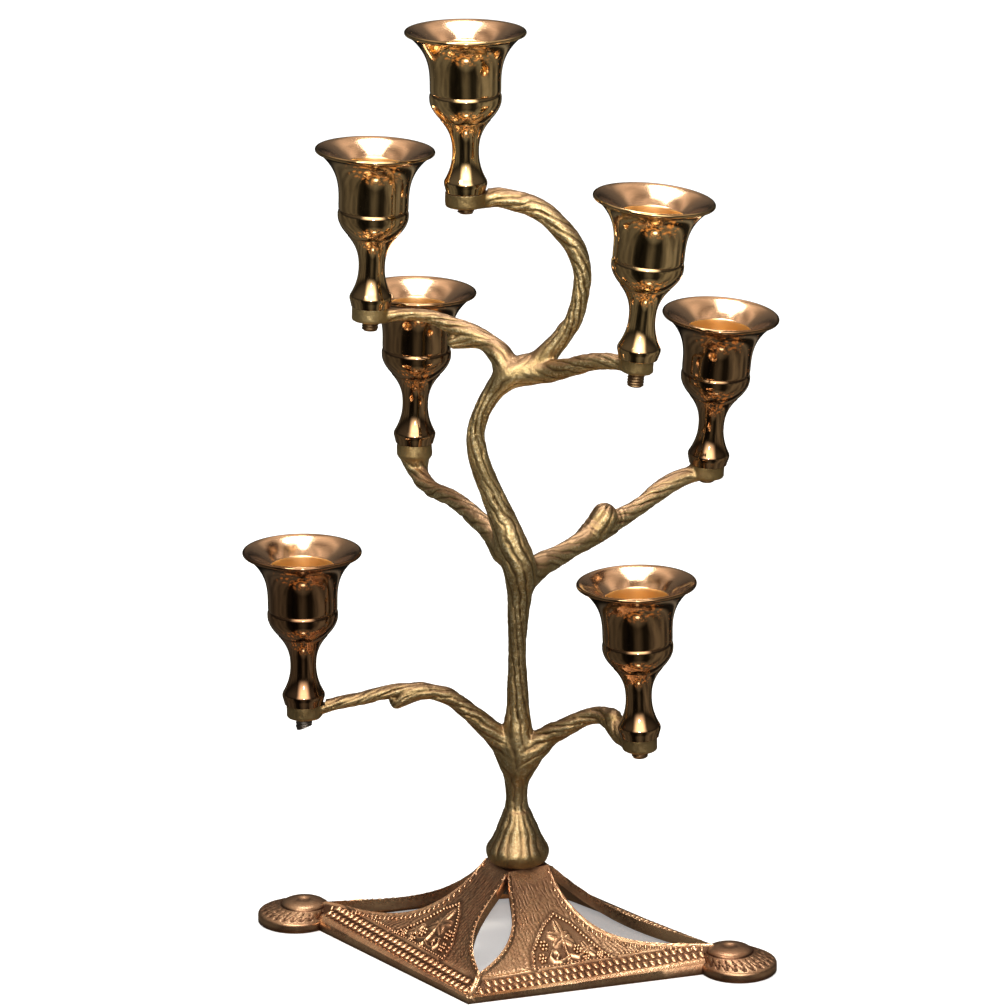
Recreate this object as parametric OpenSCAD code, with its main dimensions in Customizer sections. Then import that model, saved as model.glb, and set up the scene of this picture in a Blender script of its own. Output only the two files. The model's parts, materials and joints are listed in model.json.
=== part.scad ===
// Seven-light candelabrum cast in brass as a small tree.
// A pierced rhombic base carries one tree casting, whose seven branches end in
// drilled bosses. Every boss takes the threaded stud of a turned candle cup.
// The origin is on the floor at the middle of the whole width and depth, +Z is up,
// and X runs along the long diagonal of the base.

/* [Candle cups] */
// Height of a cup from its foot to its rim
cup_h = 57.5; // [56:0.5:60]
// Outer radius of the rim
rim_r = 21.3; // [20:0.1:23]
// Outer radius of the straight part of the bell
bell_r = 12.65; // [12.5:0.05:13.5]
// Radius of the narrow waist of the stem
waist_r = 4.7; // [4.4:0.1:5.5]
// Radius of the sharp ridge round the foot
foot_r = 7.65; // [7.2:0.05:8.5]
// Radius of the candle socket
socket_r = 11.25; // [10.5:0.05:11.5]
// Depth of the candle socket below its mouth
socket_depth = 19; // [15:0.5:19.5]
// Depth of the dished pan between rim and socket
pan_depth = 5.5; // [4:0.1:6.5]

/* [Studs and bosses] */
// Radius of the M6 studs
stud_r = 3; // [2.5:0.05:3.2]
// Radial clearance of the smooth stand-in threads
thread_gap = 0.05; // [0.03:0.01:0.1]
// Length of stud inside a cup's foot
stud_in_cup = 8; // [6:0.5:8]
// Radius of the bosses at the branch ends
boss_r = 6.2; // [6:0.1:7]
// Thickness of the bosses
boss_t = 5; // [4.5:0.1:6]

/* [Trunk and base] */
// Largest radius of the knob at the trunk's foot
knob_r = 11.3; // [10.5:0.1:12]
// Height of the apex of the base, where the knob rests
apex_z = 32.5; // [30.5:0.5:33.5]
// Half of the base's long diagonal, to the centre of the right lobe
half_x = 83; // [80:0.5:88]
// How much farther out the left lobe stands than the right one
lobe_shift = 2.4; // [0:0.1:3]
// Half of the base's short diagonal
half_y = 60.5; // [58:0.5:64]
// Radius of the round lobes at the ends of the long diagonal
lobe_r = 14; // [13:0.5:15]
// Thickness of the base casting
wall = 3.2; // [2.8:0.1:3.6]
// Radius of the M8 base screw
screw_r = 4; // [3.5:0.1:4.2]

/* [Hidden] */
// The trunk stands a little to the right of the middle of the whole width, and in
// front of the middle of the whole depth
trunk_x = lobe_shift / 2;
trunk_y = -16.09;
$fn = 96;

// Each light: foot of the cup, lean from upright, direction of the lean, and
// how far the stud reaches past the boss.
TOP = [[-17.5, -5.5, 281.5], 0, 0, 2.5];
UPPER_LEFT = [[-56, 4, 235], 2, 17, 3.6];
UPPER_RIGHT = [[49, -18.5, 230], 5.5, 0, 5.2];
MIDDLE_LEFT = [[-52, 41.5, 175], 1.5, 17, 0];
MIDDLE_RIGHT = [[50.5, 73, 167], 5, -19, 2];
LOWER_LEFT = [[-72, -27, 94.5], 0, 0, 5];
LOWER_RIGHT = [[49, -12.5, 89.5], 1.5, 197, 2.8];
LIGHTS = [TOP, UPPER_LEFT, UPPER_RIGHT, MIDDLE_LEFT, MIDDLE_RIGHT, LOWER_LEFT, LOWER_RIGHT];

// Centrelines of the castings as [x, y, z, radius], from the root outwards.
TRUNK_PATH = [[0, 0, 44, 7.4], [0, 0, 51, 5.1], [0, 0, 58, 4.3], [0, 0, 67, 4.9],
    [0, 0, 77, 5.9], [0, 0, 88.5, 4.5], [0, 0, 98, 3.8], [-0.2, 0, 111, 3.3],
    [0.1, 0, 124.5, 3.7], [0.6, 0.5, 135.5, 4.7], [0.5, 0, 145, 6], [-2.5, -0.5, 154.5, 5.5],
    [-5.5, -0.5, 162, 4.8], [-9.5, -2, 172.5, 4.1], [-13, -4, 183.5, 3.7],
    [-14.5, -4.5, 193, 3.4], [-13, -4, 201.5, 3.2], [-9, -2.5, 209, 3.7],
    [-3, -2, 215, 4.6], [2.5, -0.5, 218, 4.6]];
TOP_PATH = [[-2, -1.5, 216.5, 4.2], [6.5, 0, 220, 4.2], [12.5, 0.5, 226, 3.7],
    [17.5, 1, 232.5, 3.3], [21, 1, 239, 3.1], [23, 2, 251.5, 3.1], [21.5, 2.5, 259, 3.5],
    [18, 2.5, 265.5, 3.7], [8, 1.5, 275, 3.8], [-4.5, -1.5, 279.3, 3.6],
    [-10, -3, 279.3, 3.2], [-17.5, -5.5, 278.8, 2.4]];
UPPER_LEFT_PATH = [[-3.5, -1, 216.5, 4.6], [-6.5, 0, 222, 4.2], [-12, 2.5, 225.5, 3.5],
    [-19, 3.5, 228.5, 3.4], [-26.5, 4.5, 230.5, 3], [-34, 5.5, 232.5, 2.4],
    [-41, 5.5, 233, 2.2], [-48.5, 5, 232.3, 2.4], [-56, 4, 232, 2.2]];
UPPER_RIGHT_PATH = [[1, -1, 216, 4.2], [12, -2.5, 218, 3.9], [22, -8, 222, 3.4],
    [31, -11.5, 225.5, 3.1], [39.5, -15, 227, 2.8], [49, -18.5, 227, 2.2]];
MIDDLE_LEFT_PATH = [[-5.5, 0.5, 149.5, 4.6], [-10.5, 5, 153.5, 3.9], [-17, 10.5, 156.5, 3.6],
    [-25, 17.5, 159, 3.3], [-33, 24.5, 160.5, 3.1], [-41.5, 31.5, 160.5, 3],
    [-47, 36, 162.5, 3.2], [-50.5, 40, 165.5, 3.8], [-52, 41.5, 171, 5.6]];
MIDDLE_RIGHT_PATH = [[1.5, 2.5, 142, 5], [5.5, 10, 144.5, 4.3], [10, 19.5, 145, 3.6],
    [15, 28.5, 146.5, 3.6], [19, 37, 148.5, 4], [25, 46.5, 151.5, 3.5],
    [31, 54.5, 155, 3.1], [36, 61, 159, 3.5], [42.5, 67.5, 162.5, 3.3],
    [50.5, 73, 164, 2.2]];
LOWER_LEFT_PATH = [[-2, -0.5, 68.5, 4.7], [-5.5, -1.5, 76, 4.7], [-10, -4, 83, 4.3],
    [-16, -7, 90.5, 3.3], [-23, -10, 96.5, 3.1], [-30.5, -13.5, 99, 2.8],
    [-39, -16, 99.5, 2.3], [-46, -19, 98, 2.4], [-52.5, -21, 95.5, 2.3],
    [-58.5, -23, 94, 2.2], [-64.5, -25, 92.5, 2.3], [-72, -27, 91.5, 2.2]];
LOWER_RIGHT_PATH = [[1, 0, 68.5, 5.1], [5, 0.5, 75, 5], [11, 1.5, 81, 4.1],
    [18, 1, 85.5, 3.5], [24.5, 1, 89.5, 3.1], [31, 0, 91.5, 3.2], [36.5, -3.5, 91.3, 3.3],
    [41.5, -8, 88.5, 3], [49, -12.5, 86.5, 2.2]];

// Twig stubs as [from, to, radius at from, radius at to].
STUBS = [
    [[17.5, 34.5, 147.5], [21.5, 39, 154.5], 3.8, 3.5],
    [[-17, 3.2, 226.5], [-24, 3, 225], 3.3, 2.8],
    [[-38, -16, 98], [-38.5, -17, 95.5], 2.3, 2.4],
    [[34.5, 1.5, 91], [37.3, -4.7, 93.2], 2.8, 2.5]];

// Sides and steps of the branch sweeps
branch_sides = 12;
branch_steps = 2;
// How far a stub's rounded end reaches past its full radius, and the radius there
stub_round = 1.5;
stub_tip = 0.6;
// Outline of the trunk's knob as [step in from its largest radius, height above the apex]
KNOB = [[2.4, 0], [0.8, 1.3], [0, 3.4], [0.2, 5.6], [1.9, 8.7], [4.5, 13.6], [6.7, 19]];
// Radius of the rounded rim lip
lip_r = 0.7;
// Heights and radii on a cup, above its foot, and how hollow each curve between them is
ridge_z = 3.5;
foot_taper = 0.75;
foot_curve = 2.1;
waist_z = 14.5;
stem_curve = 2.4;
neck_z = 25.8;
neck_r = 8.6;
bell_z = 33;
bell_curve = 1.75;
flare_z = 38;
flare_curve = 2.9;
pan_curve = 0.4;
pan_inset = 1;
step = 0.125;
socket_mouth_z = cup_h - pan_depth;
socket_floor_z = socket_mouth_z - socket_depth;
drill_point = 2;
mouth_round = 0.5;
groove_z = 35.5;
groove_deep = 0.25;
// Free length past the end of a stud, and free height above the seat of a cup
stud_relief = 0.2;
seat_clear = 4;
// The platform at the top of the base closes the square between the four panels. Its
// lower corners reach a little way under them.
apex_r = 12;
platform_t = 4;
platform_reach = 1.5;
platform_sides = 4;
// The rim of the base is thinner at the corners than at the lobes
corner_rim = 2.2;
lobe_rim = 4;
// Height of the ridge lines where they reach the lobes, and how hollow the panels sag
// along the short and the long diagonal
lobe_z = 8.2;
front_sag = 1.65;
side_sag = 4.3;
rim_sag = 0.8;
// Outline of a lobe's dome as [radius, height above the shoulder]
DOME = [[8.5, -0.4], [8, 0], [5.5, 1], [2.6, 1.4], [0, 0.7]];
dome_z = 7.6;
rim_bevel = 0.5;
// Leaf openings as [inner tip, outer tip, half width, skew of the widest place]
FRONT_LEAF = [12.5, 46.5, 6.6, 1.15];
SIDE_LEAF = [12.5, 73, 10, 0.7];
lip_h = 0.8;
lip_deep = 1.3;
seam = 0.2;
panel_cols = 14;
panel_rows = 16;
edge_band = 6;
foot_band = 4;
// Hidden joint between the trunk and the base
screw_in_trunk = 13;
washer_t = 1.6;
washer_r = 8;
washer_bore_gap = 0.3;
washer_gap = 0.5;
washer_seat_h = 8;
screw_gap = 0.5;
head_t = 5.3;
head_flats = 13;

// Moves its children from round the trunk to their place in the whole
module placed() {
    translate([trunk_x, trunk_y, 0])
        children();
}

function unit(v) = v / norm(v);
function bend(a, b, c, d, t) = 0.5 * (2 * b + (c - a) * t
    + (2 * a - 5 * b + 4 * c - d) * t * t + (3 * b - a - 3 * c + d) * t * t * t);
function near(path, i) = path[max(0, min(len(path) - 1, i))];
// A smooth curve through the waypoints of a path
function smooth(path) = concat(
    [for (i = [0 : len(path) - 2], k = [0 : branch_steps - 1])
        bend(near(path, i - 1), path[i], path[i + 1], near(path, i + 2), k / branch_steps)],
    [path[len(path) - 1]]);
function spot(p) = [p[0], p[1], p[2]];
function heading(path, i) = unit(spot(near(path, i + 1)) - spot(near(path, i - 1)));
// Carries one side direction along a path without letting it twist
function carry(path, i, side) = i == len(path) ? [] :
    let (d = heading(path, i), s = unit(side - (side * d) * d))
    concat([s], carry(path, i + 1, s));

// A closed round bar along a path of [x, y, z, radius]
module bar(waypoints) {
    path = smooth(waypoints);
    n = len(path);
    first = heading(path, 0);
    guess = abs(first[1]) < 0.8 ? [0, 1, 0] : [1, 0, 0];
    sides = carry(path, 0, guess);
    points = [for (i = [0 : n - 1])
        let (d = heading(path, i), s = sides[i], q = cross(d, s))
        for (k = [0 : branch_sides - 1])
            let (a = 360 * k / branch_sides)
            spot(path[i]) + path[i][3] * (cos(a) * s + sin(a) * q)];
    walls = [for (i = [0 : n - 2], k = [0 : branch_sides - 1])
        let (a = i * branch_sides + k, b = i * branch_sides + (k + 1) % branch_sides)
        each [[a, a + branch_sides, b], [b, a + branch_sides, b + branch_sides]]];
    root = [for (k = [0 : branch_sides - 1]) k];
    tip = [for (k = [branch_sides - 1 : -1 : 0]) (n - 1) * branch_sides + k];
    polyhedron(points, concat([root], walls, [tip]), convexity = 6);
}

// Puts its children on the boss of one light, upright along its own axis
module at_light(light) {
    translate(light[0])
        rotate([0, 0, light[2]])
            rotate([0, light[1], 0])
                rotate([0, 0, -light[2]])
                    children();
}

// Half outline of a cup: foot, waisted stem, bell, flare and lip
function cup_outline() = concat(
    [[0, 0], [foot_r - foot_taper, 0]],
    [for (t = [0 : step : 1])
        [waist_r + (foot_r - waist_r) * pow(1 - t, foot_curve),
            ridge_z + (waist_z - ridge_z) * t]],
    [for (t = [step : step : 1])
        [waist_r + (neck_r - waist_r) * pow(t, stem_curve),
            waist_z + (neck_z - waist_z) * t]],
    [for (t = [step : step : 1])
        [neck_r + (bell_r - neck_r) * (1 - pow(1 - t, bell_curve)),
            neck_z + (bell_z - neck_z) * t]],
    [[bell_r, groove_z - groove_deep], [bell_r - groove_deep, groove_z],
        [bell_r, groove_z + groove_deep]],
    [for (t = [0 : step / 2 : 1 - step / 2])
        [bell_r + (rim_r - lip_r / 2 - bell_r) * pow(t, flare_curve),
            flare_z + (cup_h - flare_z - lip_r) * t]],
    [for (a = [-60 : 30 : 90])
        [rim_r - lip_r + lip_r * cos(a), cup_h - lip_r + lip_r * sin(a)]],
    [for (t = [step : step : 1])
        [rim_r - pan_inset - (rim_r - pan_inset - socket_r - mouth_round) * t,
            cup_h - pan_depth * (1 - pan_curve + pan_curve * t) * t]],
    [[socket_r, socket_mouth_z - mouth_round], [socket_r, socket_floor_z],
        [0, socket_floor_z - drill_point]]);

module cup(light) {
    color([0.55, 0.36, 0.2])
        placed()
            at_light(light)
                difference() {
                    rotate_extrude()
                        polygon(cup_outline());
                    translate([0, 0, -1])
                        cylinder(r = stud_r + thread_gap, h = stud_in_cup + 1 + stud_relief);
                }
}

// The part of a stud inside its cup, plus the part in and below the boss
module stud(light) {
    length = stud_in_cup + boss_t + light[3];
    color([0.35, 0.33, 0.3])
        placed()
            at_light(light)
                translate([0, 0, stud_in_cup - length])
                    cylinder(r = stud_r, h = length);
}

module knob() {
    top = KNOB[len(KNOB) - 1];
    translate([0, 0, apex_z])
        rotate_extrude()
            polygon(concat([[0, 0]], [for (p = KNOB) [knob_r - p[0], p[1]]], [[0, top[1]]]));
}

module tree() {
    color([0.6, 0.5, 0.27])
        placed()
            difference() {
                union() {
                    knob();
                    for (path = [TRUNK_PATH, TOP_PATH, UPPER_LEFT_PATH, UPPER_RIGHT_PATH,
                            MIDDLE_LEFT_PATH, MIDDLE_RIGHT_PATH, LOWER_LEFT_PATH,
                            LOWER_RIGHT_PATH])
                        bar(path);
                    for (stub = STUBS)
                        bar([concat(stub[0], [stub[2]]), concat(stub[1], [stub[3]]),
                            concat(stub[1] + stub_round * unit(stub[1] - stub[0]),
                                [stub[3] * stub_tip])]);
                    for (light = LIGHTS)
                        at_light(light)
                            translate([0, 0, -boss_t])
                                cylinder(r = boss_r, h = boss_t);
                }
                for (light = LIGHTS)
                    at_light(light) {
                        translate([0, 0, -boss_t - light[3] - stud_relief])
                            cylinder(r = stud_r + thread_gap, h = boss_t + light[3] + stud_relief);
                        // Levels anything that stands above the seat of the cup
                        cylinder(r = foot_r + 1, h = seat_clear);
                    }
                translate([0, 0, apex_z - 1])
                    cylinder(r = screw_r + thread_gap, h = screw_in_trunk + 2);
            }
}

// Half width of a leaf opening at distance r from the trunk
function leaf_width(leaf, r) = r <= leaf[0] || r >= leaf[1] ? 0 :
    leaf[2] * sin(180 * pow((r - leaf[0]) / (leaf[1] - leaf[0]), leaf[3]));
// One quarter panel of the base in plan: u runs from the short diagonal to the
// long one, and v runs from the apex to the edge
function panel_plan(u, v) =
    let (ry = apex_r + v * (half_y - apex_r), rx = apex_r + v * (half_x + 1 - apex_r))
    (1 - u) * [leaf_width(FRONT_LEAF, ry) - seam, ry]
        + u * [rx, leaf_width(SIDE_LEAF, rx) - seam];
function from_edge(p) = (1 - p[0] / (half_x + 1) - p[1] / half_y)
    * half_x * half_y / norm([half_x, half_y]);
function rim_top(p) = corner_rim + (lobe_rim - corner_rim) * p[0] / half_x;
function panel_top(u, v) =
    let (p = panel_plan(u, v),
        front = corner_rim + (apex_z - corner_rim) * pow(1 - v, front_sag),
        side = lobe_z + (apex_z - lobe_z) * pow(1 - v, side_sag),
        open = (1 - u) * front + u * side,
        lip = lip_h * pow(abs(2 * u - 1), 10) * min(1, 5 * v) * min(1, 5 * (1 - v)),
        fade = pow(max(0, min(1, from_edge(p) / edge_band)), rim_sag))
    rim_top(p) + (open + lip - rim_top(p)) * fade;
function panel_under(u, v) =
    max(0, min(panel_top(u, v) - wall - lip_deep * pow(abs(2 * u - 1), 8),
        2 * (from_edge(panel_plan(u, v)) - foot_band)));

module panel() {
    cols = panel_cols + 1;
    rows = panel_rows + 1;
    layer = cols * rows;
    top = [for (j = [0 : panel_rows], i = [0 : panel_cols])
        let (u = i / panel_cols, v = j / panel_rows)
        concat(panel_plan(u, v), [panel_top(u, v)])];
    under = [for (j = [0 : panel_rows], i = [0 : panel_cols])
        let (u = i / panel_cols, v = j / panel_rows)
        concat(panel_plan(u, v), [panel_under(u, v)])];
    skins = [for (j = [0 : panel_rows - 1], i = [0 : panel_cols - 1])
        let (a = j * cols + i, b = a + 1, c = a + cols, d = c + 1)
        each [[a, d, b], [a, c, d], [layer + a, layer + b, layer + d],
            [layer + a, layer + d, layer + c]]];
    ends = [for (i = [0 : panel_cols - 1], j = [0, panel_rows])
        let (a = j * cols + i, b = a + 1, s = j == 0 ? [a, b] : [b, a])
        each [[s[0], s[1], layer + s[1]], [s[0], layer + s[1], layer + s[0]]]];
    flanks = [for (j = [0 : panel_rows - 1], i = [0, panel_cols])
        let (a = j * cols + i, b = a + cols, s = i == 0 ? [b, a] : [a, b])
        each [[s[0], s[1], layer + s[1]], [s[0], layer + s[1], layer + s[0]]]];
    polyhedron(concat(top, under), concat(skins, ends, flanks), convexity = 8);
}

// A round foot: straight wall, sloping shoulder and low dome with a dimple
module lobe() {
    rotate_extrude()
        polygon(concat([[0, 0], [lobe_r, 0], [lobe_r, lobe_rim - rim_bevel],
            [lobe_r - rim_bevel, lobe_rim]], [for (p = DOME) [p[0], dome_z + p[1]]]));
}

module base() {
    color([0.55, 0.33, 0.2])
        placed()
            difference() {
                union() {
                    for (mx = [0, 1], my = [0, 1])
                        mirror([mx, 0, 0])
                            mirror([0, my, 0])
                                panel();
                    for (x = [-half_x - lobe_shift, half_x])
                        translate([x, 0, 0])
                            lobe();
                    translate([0, 0, apex_z - platform_t])
                        cylinder(r1 = apex_r + platform_reach, r2 = apex_r, h = platform_t,
                            $fn = platform_sides);
                }
                translate([0, 0, apex_z - platform_t - 1])
                    cylinder(r = screw_r + screw_gap, h = platform_t + 2);
                // A flat seat for the washer under the platform
                translate([0, 0, apex_z - platform_t - washer_seat_h])
                    cylinder(r = washer_r + washer_gap, h = washer_seat_h);
            }
}

module base_washer() {
    color("silver")
        placed()
            translate([0, 0, apex_z - platform_t - washer_t])
                difference() {
                    cylinder(r = washer_r, h = washer_t);
                    translate([0, 0, -1])
                        cylinder(r = screw_r + washer_bore_gap, h = washer_t + 2);
                }
}

// A hexagon screw driven up into the trunk from under the base
module base_screw() {
    head_z = apex_z - platform_t - washer_t;
    color("gray")
        placed() {
            translate([0, 0, head_z - head_t])
                cylinder(d = head_flats / cos(30), h = head_t, $fn = 6);
            translate([0, 0, head_z - head_t / 2])
                cylinder(r = screw_r, h = head_t / 2 + washer_t + platform_t + screw_in_trunk);
        }
}

base();
tree();
base_screw();
base_washer();
cup(TOP);  // cup_top
cup(UPPER_LEFT);  // cup_upper_left
cup(UPPER_RIGHT);  // cup_upper_right
cup(MIDDLE_LEFT);  // cup_middle_left
cup(MIDDLE_RIGHT);  // cup_middle_right
cup(LOWER_LEFT);  // cup_lower_left
cup(LOWER_RIGHT);  // cup_lower_right
stud(TOP);  // stud_top
stud(UPPER_LEFT);  // stud_upper_left
stud(UPPER_RIGHT);  // stud_upper_right
stud(MIDDLE_LEFT);  // stud_middle_left
stud(MIDDLE_RIGHT);  // stud_middle_right
stud(LOWER_LEFT);  // stud_lower_left
stud(LOWER_RIGHT);  // stud_lower_right
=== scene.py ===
"""Looks of the seven-light tree candelabrum: polished turned cups, a cast tree and a cast, pierced base."""

import json
import math

import bpy
import numpy as np
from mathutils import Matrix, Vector


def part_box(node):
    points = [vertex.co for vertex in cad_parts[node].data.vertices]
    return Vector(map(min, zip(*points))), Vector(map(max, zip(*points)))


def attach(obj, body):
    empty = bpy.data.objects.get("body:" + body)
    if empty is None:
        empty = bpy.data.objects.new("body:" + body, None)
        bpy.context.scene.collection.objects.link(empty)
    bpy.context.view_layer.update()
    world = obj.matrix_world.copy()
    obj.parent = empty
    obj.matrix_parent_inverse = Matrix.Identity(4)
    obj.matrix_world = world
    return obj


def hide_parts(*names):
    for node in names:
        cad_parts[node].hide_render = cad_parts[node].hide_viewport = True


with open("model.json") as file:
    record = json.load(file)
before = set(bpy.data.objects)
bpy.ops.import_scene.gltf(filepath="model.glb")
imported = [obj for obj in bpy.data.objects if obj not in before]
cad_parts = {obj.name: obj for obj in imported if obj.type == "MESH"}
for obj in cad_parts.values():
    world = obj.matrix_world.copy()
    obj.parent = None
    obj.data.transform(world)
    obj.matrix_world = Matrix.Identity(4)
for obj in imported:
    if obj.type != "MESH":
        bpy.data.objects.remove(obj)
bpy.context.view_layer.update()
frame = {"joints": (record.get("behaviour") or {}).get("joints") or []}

MM = 0.001
UP = (0, 0, 1)
LIGHTS = ["top", "upper_left", "upper_right", "middle_left", "middle_right", "lower_left", "lower_right"]


# ---- numbers and noise

def unit(v):
    """Rows of v scaled to length one."""
    return v / np.maximum(np.linalg.norm(v, axis=-1, keepdims=True), 1e-9)


def smoothstep(x, lo, hi):
    t = np.clip((x - lo) / (hi - lo), 0, 1)
    return t * t * (3 - 2 * t)


def lattice(ix, iy, iz, seed):
    """A repeatable random number from -1 to 1 for each lattice cell."""
    n = (ix * 374761393 + iy * 668265263 + iz * 1440662683 + seed * 974634777) & 0xFFFFFFFF
    n = ((n ^ (n >> 13)) * 1274126177) & 0xFFFFFFFF
    n = (n ^ (n >> 16)) & 0xFFFFFF
    return n / float(0x7FFFFF) - 1


def noise(p, size, seed=0):
    """Smooth value noise at points p, with features about size across."""
    q = np.asarray(p, float) / size
    cell = np.floor(q).astype(np.int64)
    f = q - cell
    f = f * f * (3 - 2 * f)
    total = 0
    for dx in (0, 1):
        for dy in (0, 1):
            for dz in (0, 1):
                w = (np.where(dx, f[:, 0], 1 - f[:, 0]) * np.where(dy, f[:, 1], 1 - f[:, 1])
                     * np.where(dz, f[:, 2], 1 - f[:, 2]))
                total = total + w * lattice(cell[:, 0] + dx, cell[:, 1] + dy, cell[:, 2] + dz, seed)
    return total


def frames_along(points, first_side):
    """Tangents and two side directions carried along a line of points without twisting."""
    tangent = unit(np.gradient(points, axis=0))
    side = np.array(first_side, float)
    sides = []
    for t in tangent:
        side = side - (side @ t) * t
        side = side / np.linalg.norm(side)
        sides.append(side)
    sides = np.array(sides)
    return tangent, sides, np.cross(tangent, sides)


def axis_frame(axis):
    """Two directions square to an axis."""
    a = np.array(axis, float) / np.linalg.norm(axis)
    helper = np.array([0, 1, 0]) if abs(a[1]) < 0.8 else np.array([1, 0, 0])
    x = np.cross(helper, a)
    x /= np.linalg.norm(x)
    return x, np.cross(a, x), a


# ---- meshes

def grid_faces(rows, cols, wrap=False):
    """Quads of a grid of vertices, row after row. wrap joins the last column to the first."""
    r = np.arange(rows - 1)[:, None] * cols
    c = np.arange(cols if wrap else cols - 1)[None, :]
    d = (c + 1) % cols
    return np.stack([r + c, r + d, r + cols + d, r + cols + c], axis=-1).reshape(-1, 4)


def new_mesh(name, verts, faces):
    """A mesh object from vertices in millimetres."""
    mesh = bpy.data.meshes.new(name)
    mesh.from_pydata((np.asarray(verts) * MM).tolist(), [], [list(map(int, f)) for f in faces])
    mesh.validate()
    mesh.update()
    obj = bpy.data.objects.new(name, mesh)
    bpy.context.scene.collection.objects.link(obj)
    return obj


def shade(obj, sharp_degrees):
    """Smooth shading with edges kept sharp past an angle."""
    obj.data.shade_smooth()
    obj.data.set_sharp_from_angle(angle=math.radians(sharp_degrees))


def settle(obj, body, node, material):
    """Puts a finished piece on its body in place of its CAD node."""
    obj.data.materials.clear()
    obj.data.materials.append(material)
    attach(obj, body)
    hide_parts(node)


def lathe(profile, sides, centre, axis):
    """Vertices and faces of a profile of (radius, height) turned round an axis. Ends on the axis close."""
    x, y, a = axis_frame(axis)
    profile = np.array(profile, float)
    turn = np.arange(sides) * 2 * math.pi / sides
    ring = np.cos(turn)[:, None] * x + np.sin(turn)[:, None] * y
    verts = (np.array(centre) + profile[:, 1, None, None] * a
             + profile[:, 0, None, None] * ring[None]).reshape(-1, 3)
    return verts, grid_faces(len(profile), sides, wrap=True)


def capped(verts, faces, sides):
    """Rings of vertices with a flat face over the first and the last."""
    count = len(verts)
    return verts, list(faces) + [list(range(sides))[::-1], list(range(count - sides, count))]


def capped_lathe(profile, sides, centre, axis):
    return capped(*lathe(profile, sides, centre, axis), sides)


def closed_lathe(profile, sides, centre, axis):
    """A lathe whose first and last profile points lie on the axis, with both poles closed."""
    inner = np.array(profile, float)[1:-1]
    verts, faces = lathe(inner, sides, centre, axis)
    _, _, a = axis_frame(axis)
    ends = [np.array(centre) + profile[0][1] * a, np.array(centre) + profile[-1][1] * a]
    count = len(verts)
    verts = np.vstack([verts, ends])
    k = np.arange(sides)
    n = (k + 1) % sides
    last = count - sides
    first_fan = np.stack([np.full(sides, count), n, k], axis=1)
    last_fan = np.stack([np.full(sides, count + 1), last + k, last + n], axis=1)
    return verts, list(faces) + list(first_fan) + list(last_fan)


def arrays(obj):
    """Vertices in millimetres and faces of an object's mesh, modifiers included."""
    graph = bpy.context.evaluated_depsgraph_get()
    mesh = obj.evaluated_get(graph).to_mesh()
    co = np.empty(len(mesh.vertices) * 3)
    mesh.vertices.foreach_get("co", co)
    faces = [tuple(p.vertices) for p in mesh.polygons]
    obj.evaluated_get(graph).to_mesh_clear()
    return co.reshape(-1, 3) / MM, faces


def move_points(obj, verts):
    """Puts an object's vertices at places given in millimetres."""
    obj.data.vertices.foreach_set("co", (verts * MM).ravel())


def apply_modifiers(obj):
    graph = bpy.context.evaluated_depsgraph_get()
    mesh = bpy.data.meshes.new_from_object(obj.evaluated_get(graph))
    obj.modifiers.clear()
    obj.data = mesh


def combine(obj, cutter, operation):
    """Joins another mesh to obj, or cuts it out of obj, and removes the other mesh."""
    modifier = obj.modifiers.new("combine", "BOOLEAN")
    modifier.operation = operation
    modifier.solver = "MANIFOLD"
    modifier.object = cutter
    apply_modifiers(obj)
    bpy.data.objects.remove(cutter)


def merge(name, parts):
    """One mesh object from several sets of vertices and faces."""
    verts, faces, base = [], [], 0
    for v, f in parts:
        verts.append(np.asarray(v, float))
        faces.extend([tuple(int(i) + base for i in face) for face in f])
        base += len(v)
    return new_mesh(name, np.vstack(verts), faces)


# ---- nodes

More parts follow.
